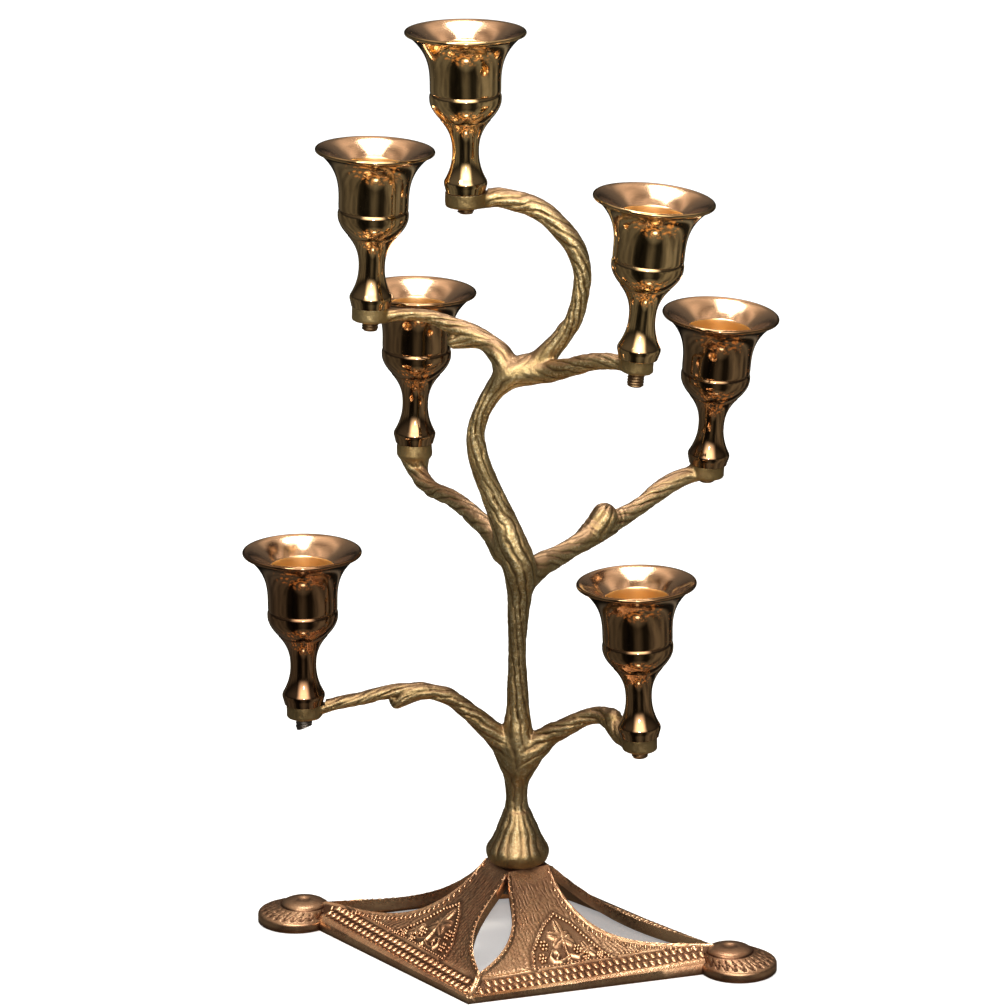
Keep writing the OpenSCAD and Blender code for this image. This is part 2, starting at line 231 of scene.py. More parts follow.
class Graph:
    """Short ways to build a node tree."""

    def __init__(self, tree):
        self.tree = tree
        tree.nodes.clear()

    def add(self, kind, inputs=None, **settings):
        node = self.tree.nodes.new(kind)
        for key, value in settings.items():
            setattr(node, key, value)
        for key, value in (inputs or {}).items():
            if isinstance(value, bpy.types.NodeSocket):
                self.tree.links.new(value, node.inputs[key])
            else:
                node.inputs[key].default_value = value
        return node

    def math(self, operation, *values, clamp=False):
        node = self.add("ShaderNodeMath", dict(enumerate(values)), operation=operation, use_clamp=clamp)
        return node.outputs[0]

    def times(self, a, b):
        return self.math("MULTIPLY", a, b)

    def plus(self, a, b, clamp=False):
        return self.math("ADD", a, b, clamp=clamp)

    def part(self, vector, axis):
        """The X, Y or Z of a vector."""
        return self.add("ShaderNodeSeparateXYZ", {"Vector": vector}).outputs[axis]

    def triple(self, value):
        """A vector or grey with the same value three times."""
        return self.add("ShaderNodeCombineXYZ", {"X": value, "Y": value, "Z": value}).outputs[0]

    def hollow(self, distance):
        """How shut in a point is, from 0 to 1, by metal nearer than a distance."""
        light = self.add("ShaderNodeAmbientOcclusion", {"Distance": distance}, samples=6).outputs["AO"]
        return self.math("SUBTRACT", 1.0, light)

    def mix(self, amount, a, b, blend="MIX"):
        node = self.add("ShaderNodeMix", data_type="RGBA", blend_type=blend)
        for index, value in ((0, amount), (6, a), (7, b)):
            if isinstance(value, bpy.types.NodeSocket):
                self.tree.links.new(value, node.inputs[index])
            else:
                node.inputs[index].default_value = value if index == 0 else (*value[:3], 1)
        return node.outputs[2]

    def noise(self, vector, scale, detail=3.0, roughness=0.5):
        inputs = {"Vector": vector, "Scale": scale, "Detail": detail, "Roughness": roughness}
        return self.add("ShaderNodeTexNoise", inputs).outputs["Fac"]

    def ramp(self, value, low, high):
        """0 below low, 1 above high, smooth between."""
        inputs = {"Value": value, "From Min": low, "From Max": high}
        return self.add("ShaderNodeMapRange", inputs, interpolation_type="SMOOTHSTEP").outputs[0]

    def attribute(self, name):
        return self.add("ShaderNodeAttribute", attribute_name=name).outputs["Fac"]

    def bump(self, height, distance, strength, normal=None):
        inputs = {"Height": height, "Distance": distance, "Strength": strength}
        if normal is not None:
            inputs["Normal"] = normal
        return self.add("ShaderNodeBump", inputs).outputs[0]


def surface(name, paint):
    """A material. paint(graph) gives the inputs of its shader."""
    material = bpy.data.materials.new(name)
    material.use_nodes = True
    graph = Graph(material.node_tree)
    shader = graph.add("ShaderNodeBsdfPrincipled", paint(graph))
    out = graph.add("ShaderNodeOutputMaterial")
    graph.tree.links.new(shader.outputs[0], out.inputs[0])
    return material


def metal(name, paint):
    """A metallic material. paint(graph) gives its base colour, roughness and normal."""
    def inputs(graph):
        colour, roughness, normal = paint(graph)
        return {"Base Color": colour, "Metallic": 1.0, "Roughness": roughness, "Normal": normal}

    return surface(name, inputs)


def place(graph):
    return graph.add("ShaderNodeTexCoord").outputs["Object"]


def paint_cup(g):
    spot = place(g)
    pan = g.attribute("pan")
    along = g.attribute("along")
    line = g.attribute("line")
    cloud = g.noise(spot, 90.0, 4.0)
    colour = g.mix(g.ramp(cloud, 0.35, 0.7), (0.62, 0.45, 0.235), (0.76, 0.57, 0.31))
    # Painted shade: the lower cups are painted darker and redder than the top one
    colour = g.mix(g.attribute("shade_amount"), colour, (0.275, 0.165, 0.095))
    # Painted shade in the grooves of the turned lines at the neck and on the bell
    colour = g.mix(g.times(line, 0.7), colour, (0.20, 0.11, 0.055))
    turning = g.add("ShaderNodeTexNoise", {"W": along, "Scale": 3.0, "Detail": 4.0}, noise_dimensions="1D")
    rings = turning.outputs["Fac"]
    # Painted light: the flared pan is painted a lighter copper and the socket a lighter gold than the
    # outside, as light falling into them
    colour = g.mix(pan, colour, (0.90, 0.62, 0.41))
    colour = g.mix(g.ramp(pan, 1.2, 1.8), colour, (1.0, 0.76, 0.43))
    smear = g.noise(spot, 260.0, 5.0)
    roughness = g.plus(0.085, g.times(g.ramp(smear, 0.5, 0.8), 0.09))
    roughness = g.plus(roughness, g.times(g.times(pan, pan), 0.06))
    roughness = g.plus(roughness, g.times(line, 0.1))
    lines = g.bump(rings, 0.00002, g.plus(0.12, g.times(pan, 0.45)))
    dents = g.bump(g.noise(spot, 420.0, 2.0), 0.00003, 0.25, lines)
    return colour, roughness, dents


def paint_tree(g):
    spot = place(g)
    deep = g.attribute("deep")
    up = g.part(g.add("ShaderNodeNewGeometry").outputs["Normal"], "Z")
    cloud = g.noise(spot, 60.0, 4.0, 0.6)
    speck = g.noise(spot, 1100.0, 3.0, 0.7)
    patch = g.noise(spot, 300.0, 4.0, 0.65)
    hollow = g.hollow(0.003)
    colour = g.mix(g.ramp(cloud, 0.3, 0.7), (0.42, 0.31, 0.14), (0.60, 0.47, 0.24))
    # Painted light: faces turned upwards are tinted pinkish brown, as lit from above
    colour = g.mix(g.times(g.ramp(up, 0.15, 0.85), 0.8), colour, (0.50, 0.32, 0.21))
    colour = g.mix(g.times(g.ramp(patch, 0.55, 0.75), 0.6), colour, (0.24, 0.17, 0.085))
    # Painted shade: darker in the bark grooves and where other metal stands close
    groove_shade = g.plus(g.ramp(deep, 0.38, 0.85), g.times(hollow, 1.2), clamp=True)
    colour = g.mix(g.times(groove_shade, 0.66), colour, (0.11, 0.072, 0.034))
    # Rubbed wear and painted glints: pale gold flecks on the bark crests, away from the faces turned
    # upwards
    crest_wear_and_glint = g.times(g.ramp(deep, 0.38, 0.05), g.ramp(up, 0.9, 0.2))
    colour = g.mix(g.times(crest_wear_and_glint, g.ramp(speck, 0.42, 0.62)), colour, (0.92, 0.82, 0.52))
    height = g.part(spot, "Z")
    # Painted shade: the tree is painted darker towards its foot, as less light reaches it
    low = g.times(g.ramp(height, 0.19, 0.09), 0.5)
    colour = g.mix(low, colour, (0.15, 0.10, 0.05))
    roughness = g.plus(0.30, g.times(speck, 0.24))
    grain = g.bump(g.noise(spot, 1700.0, 4.0, 0.75), 0.00016, 0.9)
    cast = g.bump(g.noise(spot, 420.0, 3.0, 0.6), 0.0003, 0.55, grain)
    return colour, roughness, cast


def paint_base(g):
    spot = place(g)
    deep = g.attribute("deep")
    hollow = g.hollow(0.0022)
    cloud = g.noise(spot, 45.0, 4.0, 0.6)
    speck = g.noise(spot, 800.0, 3.0, 0.7)
    colour = g.mix(g.ramp(cloud, 0.35, 0.65), (0.80, 0.46, 0.28), (1.0, 0.67, 0.42))
    colour = g.mix(g.times(g.ramp(speck, 0.5, 0.7), 0.45), colour, (1.0, 0.80, 0.50))
    # Dark oxide in the recesses and painted shade: darker where the ornament lies deep and where other
    # metal stands close; these places are also made rougher
    recess_patina_and_shade = g.plus(g.times(hollow, 1.3), deep, clamp=True)
    colour = g.mix(g.times(recess_patina_and_shade, 0.93), colour, (0.085, 0.036, 0.022))
    height = g.part(spot, "Z")
    # Painted shade: darker in patches towards the top of the base, near the knob
    top_shade = g.times(g.ramp(height, 0.012, 0.032), g.ramp(cloud, 0.3, 0.6))
    colour = g.mix(g.times(top_shade, 0.6), colour, (0.20, 0.10, 0.07))
    roughness = g.plus(0.16, g.times(g.plus(speck, recess_patina_and_shade), 0.18))
    grain = g.bump(g.noise(spot, 1300.0, 4.0, 0.7), 0.0001, 0.6)
    return colour, roughness, g.bump(g.noise(spot, 330.0, 3.0, 0.6), 0.00025, 0.4, grain)


def worn(scale, detail, roughness, dark, light, dull, dent):
    """A painter of a worn bar, mottled between two colours."""
    def paint(g):
        wear = g.noise(place(g), scale, detail, roughness)
        colour = g.mix(g.ramp(wear, 0.35, 0.7), dark, light)
        return colour, g.plus(dull, g.times(wear, 0.25)), g.bump(wear, dent, 0.5)

    return paint


CUP = metal("turned_brass", paint_cup)
TREE = metal("cast_brass", paint_tree)
BASE = metal("coppery_brass", paint_base)
STUD = metal("brown_stud", worn(500.0, 4.0, 0.65, (0.16, 0.105, 0.06), (0.34, 0.24, 0.13), 0.3, 0.00006))
STEEL = metal("dull_steel", worn(420.0, 5.0, 0.7, (0.10, 0.095, 0.09), (0.22, 0.21, 0.20), 0.32, 0.00005))


def point_values(obj, name, values):
    layer = obj.data.attributes.new(name, "FLOAT", "POINT")
    layer.data.foreach_set("value", np.ascontiguousarray(values, dtype=np.float32))


# ---- where things stand

# The trunk's axis, and each cup's foot, axis and lift to its stud's end, in millimetres
screw_lo, screw_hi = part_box("base_screw")
TRUNK = np.array([(screw_lo.x + screw_hi.x) / 2, (screw_lo.y + screw_hi.y) / 2, 0]) / MM
JOINTS = {joint["name"]: joint for joint in frame["joints"]}
FOOT = {name: np.array(JOINTS[name + "_unscrew"]["pos_m"]) / MM for name in LIGHTS}
AXIS = {name: unit(np.array(JOINTS[name + "_unscrew"]["axis"], float)) for name in LIGHTS}
LIFT = {name: JOINTS[name + "_lift"]["range_m"][1] / MM for name in LIGHTS}


# ---- cups

CUP_SIDES = 144
STUD_BORE = 3.05
CUP_H = 57.5
WAIST_R = 4.7
WAIST_Z = 14.5
FOOT_TOP_Z = 4.7
NECK_R = 8.84
NECK_Z = 26.15
SOCKET_R = 11.25
SOCKET_ROWS = 18
# Heights of the turned lines at the neck and on the bell, and their half widths; the lines are painted dark
# as shade in their grooves
NECK_LINE = (25.7, 0.14)
BELL_LINE = (35.55, 0.16)
# How far each cup is painted towards a dark red-brown as painted shade, the lower cups darker than the
# golden one at the top
CUP_SHADE = {"top": 0.0, "upper_left": 0.3, "upper_right": 0.15, "middle_left": 0.8, "middle_right": 0.85,
        "lower_left": 1.0, "lower_right": 0.85}


def arc(centre, radius, start, stop, steps):
    turn = np.radians(np.linspace(start, stop, steps))
    return np.stack([centre[0] + radius * np.cos(turn), centre[1] + radius * np.sin(turn)], axis=1)


def cup_profile():
    """Outline of a cup from the top of its stud bore, round the outside, to the bottom of its socket."""
    t = np.linspace(0, 1, 15)[1:]
    long = np.linspace(0, 1, 27)
    outer = np.vstack([
        [[0, 8.2], [2.6, 8.2], [STUD_BORE, 7.9], [STUD_BORE, 0.5], [3.5, 0.05]],
        [[6.4, 0.0], [6.75, 0.05], [6.9, 0.2], [7.02, 0.7], [7.25, 1.6], [7.45, 2.3],
         [7.6, 2.85], [7.65, 3.3], [7.64, 3.7], [7.55, 4.1], [7.38, 4.5]],
        np.stack([WAIST_R + 2.55 * (1 - t) ** 2.1, FOOT_TOP_Z + 9.8 * t], axis=1),
        np.stack([WAIST_R + 3.9 * t ** 2.4, WAIST_Z + 11.1 * t], axis=1),
        [[8.66, 25.72], [8.82, 25.82], [8.86, 26.0], [8.84, 26.15]],
        np.stack([NECK_R + 3.81 * (1 - (1 - t) ** 1.75), NECK_Z + 6.85 * t], axis=1),
        [[12.68, 33.9], [12.66, 34.3], [12.58, 34.7], [12.46, 35.05], [12.32, 35.35],
         [12.25, 35.5], [12.34, 35.6], [12.42, 35.75], [12.46, 36.4]],
        np.stack([12.48 + 8.37 * long ** 2.9, 37.4 + 19.2 * long], axis=1)[:-1],
        arc([20.55, 56.75], 0.75, -50, 110, 12),
        np.stack([20.1 - 8.35 * t, CUP_H - 5.5 * (0.6 + 0.4 * t) * t], axis=1),
        arc([11.75, 51.5], 0.5, 90, 180, 5)[1:],
        np.stack([SOCKET_R + 0 * t, 51.3 - 18.3 * t], axis=1)])
    floor = [[10.9, 32.85], [6, 32.0], [0, 31.0]]
    return np.vstack([outer, floor])


def make_cup(name, seed):
    """A slightly uneven turned cup. Its pan value is 0 outside, 1 on the flared pan and 2 in the socket."""
    profile = cup_profile()
    foot = FOOT[name]
    cup = new_mesh("cup_" + name + "_turned", *closed_lathe(profile, CUP_SIDES, foot, AXIS[name]))
    _, _, axis = axis_frame(AXIS[name])
    v, _ = arrays(cup)
    h = (v - foot) @ axis
    out = v - foot - h[:, None] * axis
    wave = noise(v, 9.0, seed) * 0.022 + noise(v, 3.5, seed + 1) * 0.005
    v = v + unit(out) * wave[:, None]
    move_points(cup, v)
    rows = len(profile) - 2
    pan_row = int(np.argmax(profile[1:-1, 1])) + 1
    row = np.append(np.repeat(np.arange(rows), CUP_SIDES), [0, rows - 1])
    step = np.append(0, np.cumsum(np.linalg.norm(np.diff(profile[1:-1], axis=0), axis=1)))
    point_values(cup, "along", step[row])
    point_values(cup, "pan", (row >= pan_row) * 1.0 + (row >= rows - SOCKET_ROWS) * 1.0)
    bell, neck = (np.exp(-((h - z) / half) ** 2) for z, half in (BELL_LINE, NECK_LINE))
    point_values(cup, "line", (bell + 0.6 * neck) * (row < pan_row))
    point_values(cup, "shade_amount", np.full(len(v), CUP_SHADE[name]))
    shade(cup, 28)
    settle(cup, "cup_" + name + "_body", "cup_" + name, CUP)


for number, light in enumerate(LIGHTS):
    make_cup(light, 20 + 3 * number)


# ---- studs, screw and washer

THREAD_SIDES = 48
THREAD_DEPTH = 0.28
ROWS_PER_TURN = 8


def threaded(name, radius, pitch, low, high, centre, axis, slant=0.0):
    """A screw thread cut round a bar, closed at both ends. slant tips its lower end."""
    rows = int((high - low) / pitch * ROWS_PER_TURN)
    h = np.linspace(low, high, rows)
    turn = np.arange(THREAD_SIDES) / THREAD_SIDES
    saw = np.abs(((h[:, None] / pitch - turn[None]) % 1) * 2 - 1)
    end = np.minimum(h - low, high - h)[:, None]
    r = radius - THREAD_DEPTH * np.clip(saw * 1.3 - 0.15, 0, 1) - 0.5 * np.clip(1 - end / 0.6, 0, 1)
    angle = turn * 2 * math.pi
    x, y, a = axis_frame(axis)
    tip = slant * np.clip(1 - (h - low) / 2.5, 0, 1)[:, None] * np.cos(angle)[None]
    pos = (np.array(centre) + (h[:, None] + tip)[..., None] * a
           + (r * np.cos(angle))[..., None] * x + (r * np.sin(angle))[..., None] * y)
    faces = grid_faces(rows, THREAD_SIDES, wrap=True)
    return new_mesh(name, *capped(pos.reshape(-1, 3), faces, THREAD_SIDES))


STUD_R = 3.0
STUD_PITCH = 1.0
STUD_TOP = 8.0
for light in LIGHTS:
    slant = 0.9 if light == "lower_left" else 0.0
    stud = threaded("stud_" + light + "_thread", STUD_R, STUD_PITCH, -LIFT[light] + 0.02 + slant, STUD_TOP,
                    FOOT[light], AXIS[light], slant)
    shade(stud, 50)
    settle(stud, "stud_" + light + "_body", "stud_" + light, STEEL if slant else STUD)


def rounded_bar(name, radius, low, high, bevel, centre, sides, inner=0.0):
    """A prism or disc between two heights with bevelled edges, optionally with a bore."""
    r, b = radius, bevel
    outer = [[r - b, low], [r - 0.3 * b, low + 0.3 * b], [r, low + b],
             [r, high - b], [r - 0.3 * b, high - 0.3 * b], [r - b, high]]
    if inner:
        bore = [[inner + 0.2, high], [inner, high - 0.2], [inner, low + 0.2], [inner + 0.2, low]]
        ring = np.array(outer + bore)
        verts, faces = lathe(np.vstack([ring, ring[:1]]), sides, centre, UP)
        keep = len(ring) * sides
        faces = faces % keep
        return new_mesh(name, verts[:keep], faces)
    return new_mesh(name, *closed_lathe([[0, low]] + outer + [[0, high]], sides, centre, UP))


WASHER_BORE = 4.35
HEAD_R = 7.4
SHANK_R = 4.0
SHANK_PITCH = 1.25

washer_lo, washer_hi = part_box("base_washer")
washer_r = (washer_hi.x - washer_lo.x) / 2 / MM
washer = rounded_bar("base_washer_disc", washer_r, washer_lo.z / MM, washer_hi.z / MM, 0.25, TRUNK, 96,
                     inner=WASHER_BORE)
shade(washer, 40)
settle(washer, "frame", "base_washer", STEEL)

HEAD_TOP = washer_lo.z / MM
head = rounded_bar("base_screw_head", HEAD_R, screw_lo.z / MM, HEAD_TOP, 0.5, TRUNK, 6)
shank = threaded("shank", SHANK_R, SHANK_PITCH, HEAD_TOP - 2, screw_hi.z / MM, TRUNK, UP)
combine(head, shank, "UNION")
shade(head, 35)
settle(head, "frame", "base_screw", STEEL)


# ---- tree

# Centrelines as [x, y, z, radius] round the trunk's axis, from the root outwards, in millimetres
TRUNK_PATH = [[0, 0, 44, 7.1], [-0.2, 0, 51, 4.7], [-0.4, 0, 58, 4.0], [-0.2, 0, 67, 4.7],
              [0, 0, 77, 5.9], [0, 0, 88.5, 4.5], [0, 0, 98, 3.8], [-0.2, 0, 111, 3.3],
              [0.1, 0, 124.5, 3.7], [0.6, 0.5, 135.5, 4.7], [0.5, 0, 145, 6], [-2.5, -0.5, 154.5, 5.5],
              [-5.5, -0.5, 162, 4.8], [-9.5, -2, 172.5, 4.1], [-13, -4, 183.5, 3.7],
              [-14.3, -4.5, 193, 3.3], [-12.3, -4, 201.5, 3.1], [-8.4, -2.5, 209, 3.6],
              [-3, -2, 215, 4.6], [2.5, -0.5, 218, 4.6]]
TOP_PATH = [[-2, -1.5, 216.5, 4.2], [6.5, 0, 220, 4.2], [12.5, 0.5, 226, 3.7],
            [17.5, 1, 232.5, 3.3], [21, 1, 239, 3.1], [23, 2, 251.5, 3.1], [21.5, 2.5, 259, 3.5],
            [18, 2.5, 265.5, 3.7], [8, 1.5, 275, 3.8], [-4.5, -1.5, 279.3, 3.6],
            [-10, -3, 279.3, 3.2], [-17.5, -5.5, 278.8, 2.4]]
UPPER_LEFT_PATH = [[-3.5, -1, 216.5, 4.6], [-6.5, 0, 222, 4.2], [-12, 2.5, 225.5, 3.5],
                   [-19, 3.5, 228.5, 3.4], [-26.5, 4.5, 230.5, 3], [-34, 5.5, 232.5, 2.4],
                   [-41, 5.5, 233, 2.2], [-48.5, 5, 232.3, 2.4], [-56, 4, 232, 2.2]]
UPPER_RIGHT_PATH = [[1, -1, 216, 4.2], [12, -2.5, 218, 3.9], [22, -8, 222, 3.4],
                    [31, -11.5, 225.5, 3.1], [39.5, -15, 227, 2.8], [49, -18.5, 227, 2.2]]
MIDDLE_LEFT_PATH = [[-5.5, 0.5, 149.5, 4.6], [-10.5, 5, 153.5, 3.9], [-17, 10.5, 156.5, 3.6],
                    [-25, 17.5, 159, 3.3], [-33, 24.5, 160.5, 3.1], [-41.5, 31.5, 160.5, 3],
                    [-47, 36, 162.5, 3.2], [-50.5, 40, 165.5, 3.8], [-52, 41.5, 171, 5.6]]
MIDDLE_RIGHT_PATH = [[1.5, 2.5, 139.5, 5], [5.5, 10, 142.5, 4.5], [10, 19.5, 144, 3.8],
                     [15, 28.5, 146.5, 3.6], [19, 37, 148.5, 4], [25, 46.5, 151.5, 3.5],
                     [31, 54.5, 155, 3.1], [36, 61, 159, 3.5], [42.5, 67.5, 162.5, 3.3],
                     [50.5, 73, 164, 2.2]]
LOWER_LEFT_PATH = [[-2, -0.5, 70.5, 4.7], [-5.5, -1.5, 78, 4.4], [-10, -4, 84, 4.0],
                   [-16, -7, 90.5, 3.3], [-23, -10, 96.5, 3.1], [-30.5, -13.5, 99, 2.8],
                   [-39, -16, 99.5, 2.3], [-46, -19, 98.2, 2.5], [-52.5, -21, 96.3, 2.4],
                   [-58.5, -23, 95.2, 2.4], [-64.5, -25, 93.6, 2.4], [-72, -27, 91.8, 2.2]]
LOWER_RIGHT_PATH = [[1, 0, 68.5, 5.1], [5, 0.5, 75, 5], [11, 1.5, 81, 4.1],
                    [18, 1, 85.5, 3.5], [24.5, 1, 89.5, 3.1], [31, 0, 91.5, 3.2], [36, -3.2, 90.9, 3.7],
                    [41, -7.6, 87.8, 3.7], [45.5, -10.4, 86.6, 3.1], [49, -12.5, 86.5, 2.4]]
# Broken twigs and knots, the first of them the club on the middle right branch
STUBS = [[[15, 31.5, 146.3, 3.3], [18.5, 36, 150, 4.4], [20.8, 38.5, 153.9, 4.7]],
         [[-17, 3.2, 226.5, 3.3], [-24, 3, 225, 2.8]],
         [[-32.5, -14, 98.8, 2.7], [-36.5, -15.6, 97.2, 3.1], [-39.8, -17, 95.2, 2.6]],
         [[34.5, 1.5, 91, 2.8], [37.3, -4.7, 93.2, 2.5]]]
# Strands round each branch and millimetres of branch per full turn of a strand
BRANCHES = [(TRUNK_PATH, 8, 170), (TOP_PATH, 7, 62), (UPPER_LEFT_PATH, 7, 60), (UPPER_RIGHT_PATH, 7, -60),
            (MIDDLE_LEFT_PATH, 6, 56), (MIDDLE_RIGHT_PATH, 7, -56), (LOWER_LEFT_PATH, 6, 56),
            (LOWER_RIGHT_PATH, 6, -56)] + [(stub, 9, 200) for stub in STUBS]
APEX_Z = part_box("base")[1].z / MM
# Outline of the knob as [radius, height above the apex of the base]
KNOB_POINTS = [[8.6, 0], [10.5, 1.2], [11.3, 3.4], [11.1, 5.6], [9.4, 8.7], [6.5, 13.6], [4.3, 19]]
BOSS_R = dict.fromkeys(LIGHTS, 6.2) | {"top": 7.2, "upper_left": 6.6, "upper_right": 5.7}
BOSS_T = 5.0
BOSS_EDGE = 0.9
# Clear space round each cup foot and above its boss
SEAT_R = 7.95
SEAT_H = 4.0
SCREW_HOLE_R = 4.05
SCREW_HOLE_H = 15
# How softly branches, bosses and knob run into each other
BLEND = 0.9
BAR_SIDES = 20
BOSS_SIDES = 48
KNOB_SIDES = 64
SEAT_SIDES = 72
VOXEL = 0.5


def through(points, steps):
    """A smooth line through rows of numbers."""
    p = np.array(points, float)
    last = len(p) - 1
    t = np.linspace(0, 1, steps, endpoint=False)[:, None]
    spans = []
    for i in range(last):
        a, b, c, d = p[max(i - 1, 0)], p[i], p[i + 1], p[min(i + 2, last)]
        spans.append(0.5 * (2 * b + (c - a) * t + (2 * a - 5 * b + 4 * c - d) * t * t
                            + (3 * b - a - 3 * c + d) * t ** 3))
    return np.vstack(spans + [p[-1:]])


KNOB = through(KNOB_POINTS, 8) + np.array([0, APEX_Z])


class Chain:
    """A branch as closely spaced balls along a smooth line, with a carried side direction."""

    def __init__(self, path, strands, pitch):
        line = through(path, 24)
        s = np.append(0, np.cumsum(np.linalg.norm(np.diff(line[:, :3], axis=0), axis=1)))
        self.s = np.linspace(0, s[-1], int(s[-1] / 0.5) + 2)
        self.line = np.stack([np.interp(self.s, s, line[:, k]) for k in range(4)], axis=1)
        self.line[:, :3] += TRUNK
        self.tangent, self.side, self.cross = frames_along(self.line[:, :3], (0.3, 0.9, 0.2))
        self.strands, self.pitch = strands, pitch
        self.low = self.line[:, :3].min(0) - 16
        self.high = self.line[:, :3].max(0) + 16

    def measure(self, p):
        """Distance to the surface, arc length and angle round the branch for points p."""
        distance = np.full(len(p), 50.0)
        arc_length = np.zeros(len(p))
        angle = np.zeros(len(p))
        near = np.flatnonzero(np.all((p > self.low) & (p < self.high), axis=1))
        for part in np.array_split(near, max(1, len(near) // 20000)):
            if len(part) == 0:
                continue
            q = p[part]
            c = self.line[:, :3]
            gap = np.sqrt(np.maximum((q ** 2).sum(1)[:, None] - 2 * q @ c.T + (c ** 2).sum(1)[None], 0))
            i = np.argmin(gap - self.line[:, 3][None], axis=1)
            along = np.clip(((q - c[i]) * self.tangent[i]).sum(1), -0.3, 0.3)
            out = q - c[i] - along[:, None] * self.tangent[i]
            distance[part] = np.linalg.norm(out, axis=1) - self.line[i, 3]
            arc_length[part] = self.s[i] + along
            angle[part] = np.arctan2((out * self.cross[i]).sum(1), (out * self.side[i]).sum(1))
        return distance, arc_length, angle


CHAINS = [Chain(*branch) for branch in BRANCHES]


def boss_distance(p, name):
    axis = AXIS[name]
    v = p - FOOT[name]
    h = v @ axis
    rho = np.linalg.norm(v - h[:, None] * axis, axis=1)
    beyond = np.abs(h + BOSS_T / 2 - 0.4) - BOSS_T / 2 - 0.4
    q = np.stack([rho - BOSS_R[name] + BOSS_EDGE, beyond + BOSS_EDGE], axis=1)
    return np.linalg.norm(np.maximum(q, 0), axis=1) + np.minimum(q.max(1), 0) - BOSS_EDGE


def knob_distance(p):
    rho = np.hypot(p[:, 0] - TRUNK[0], p[:, 1] - TRUNK[1])
    side = (rho - np.interp(p[:, 2], KNOB[:, 1], KNOB[:, 0])) * 0.85
    return np.maximum(side, np.maximum(KNOB[0, 1] - p[:, 2], p[:, 2] - KNOB[-1, 1]))


def tree_fields(p):
    measures = [chain.measure(p) for chain in CHAINS]
    bosses = [boss_distance(p, name) for name in LIGHTS]
    return measures, bosses, knob_distance(p)


def tree_distance(p):
    measures, bosses, knob = tree_fields(p)
    every = np.stack([m[0] for m in measures] + bosses + [knob])
    low = every.min(0)
    return low - BLEND * np.log(np.exp(-(every - low) / BLEND).sum(0)) * 0.8


def normals(v, faces):
    """Vertex normals of a mesh of quads given as an array."""
    a, b, c, d = (v[faces[:, k]] for k in range(4))
    face = np.cross(c - a, d - b)
    total = np.zeros_like(v)
    for k in range(4):
        np.add.at(total, faces[:, k], face)
    return unit(total)


def strand(chain, s, angle, p):
    """Height from -1 to 1 of the twisted strands of one branch: broad crests and narrow grooves."""
    warp = noise(p, 9.0, 3) * 1.3 + noise(p, 3.2, 4) * 0.55
    phase = chain.strands * (angle + 2 * math.pi * s / chain.pitch) / 2 + warp
    fine = np.abs(np.sin(2 * phase + 0.9 * warp)) ** 0.5
    return 2 * np.abs(np.sin(phase)) ** 0.5 - 1.4 + 0.8 * (fine - 0.5)


# Millimetres between the growth rings on the club of the middle right branch
CLUB_RING = 1.9


def bark(p):
    """Height of the cast bark over the plain tree at points p, and how deep in a groove each point is."""
    measures, bosses, knob = tree_fields(p)
    d = np.stack([m[0] for m in measures])
    w = np.exp(-(d - d.min(0)) / 0.8)
    w /= w.sum(0)
    shape = sum(w[i] * strand(chain, measures[i][1], measures[i][2], p) for i, chain in enumerate(CHAINS))
    patches = smoothstep(noise(p, 10.0, 15), -0.55, 0.3)
    size = (0.27 + 0.12 * noise(p, 5.0, 8)) * (0.55 + 0.6 * patches)
    boss = np.stack(bosses).min(0)
    size = size * smoothstep(boss, 0.2, 1.6)
    size = size * smoothstep(knob, 0.3, 2.5)
    height = size * (shape - 0.75)
    turn = np.arctan2(p[:, 1] - TRUNK[1], p[:, 0] - TRUNK[0])
    flute = np.abs(np.sin(turn * 8 + 1.1 * noise(p, 5.0, 5))) ** 0.6 * 2 - 1
    z = p[:, 2]
    fluted = smoothstep(z, APEX_Z + 2.5, APEX_Z + 7) * (1 - smoothstep(z, APEX_Z + 15, APEX_Z + 24))
    fluted = fluted * (knob < 1.2)
    height = height + 0.2 * fluted * flute
    club = np.linalg.norm(p - TRUNK - STUBS[0][-1][:3], axis=1)
    rings = np.abs(np.sin(math.pi * club / CLUB_RING)) ** 0.6 * 2 - 1
    ringed = smoothstep(club, 4.2, 5.2) * (1 - smoothstep(club, 9.0, 11.0)) * (z > TRUNK[2] + 140)
    height = height + 0.2 * ringed * rings
    rough = 0.07 * noise(p, 1.2, 9) + 0.12 * noise(p, 3.0, 10)
    crest = np.where(fluted > 0.3, flute, shape) * np.clip(size / 0.2 + fluted, 0, 1)
    return height + rough, np.clip(0.5 - 0.5 * crest, 0, 1)


def small_ball(rows=4, sides=8):
    """A unit ball as vertices and faces."""
    rise = np.linspace(-math.pi / 2, math.pi / 2, rows + 2)
    return closed_lathe(np.stack([np.cos(rise), np.sin(rise)], axis=1), sides, (0, 0, 0), UP)


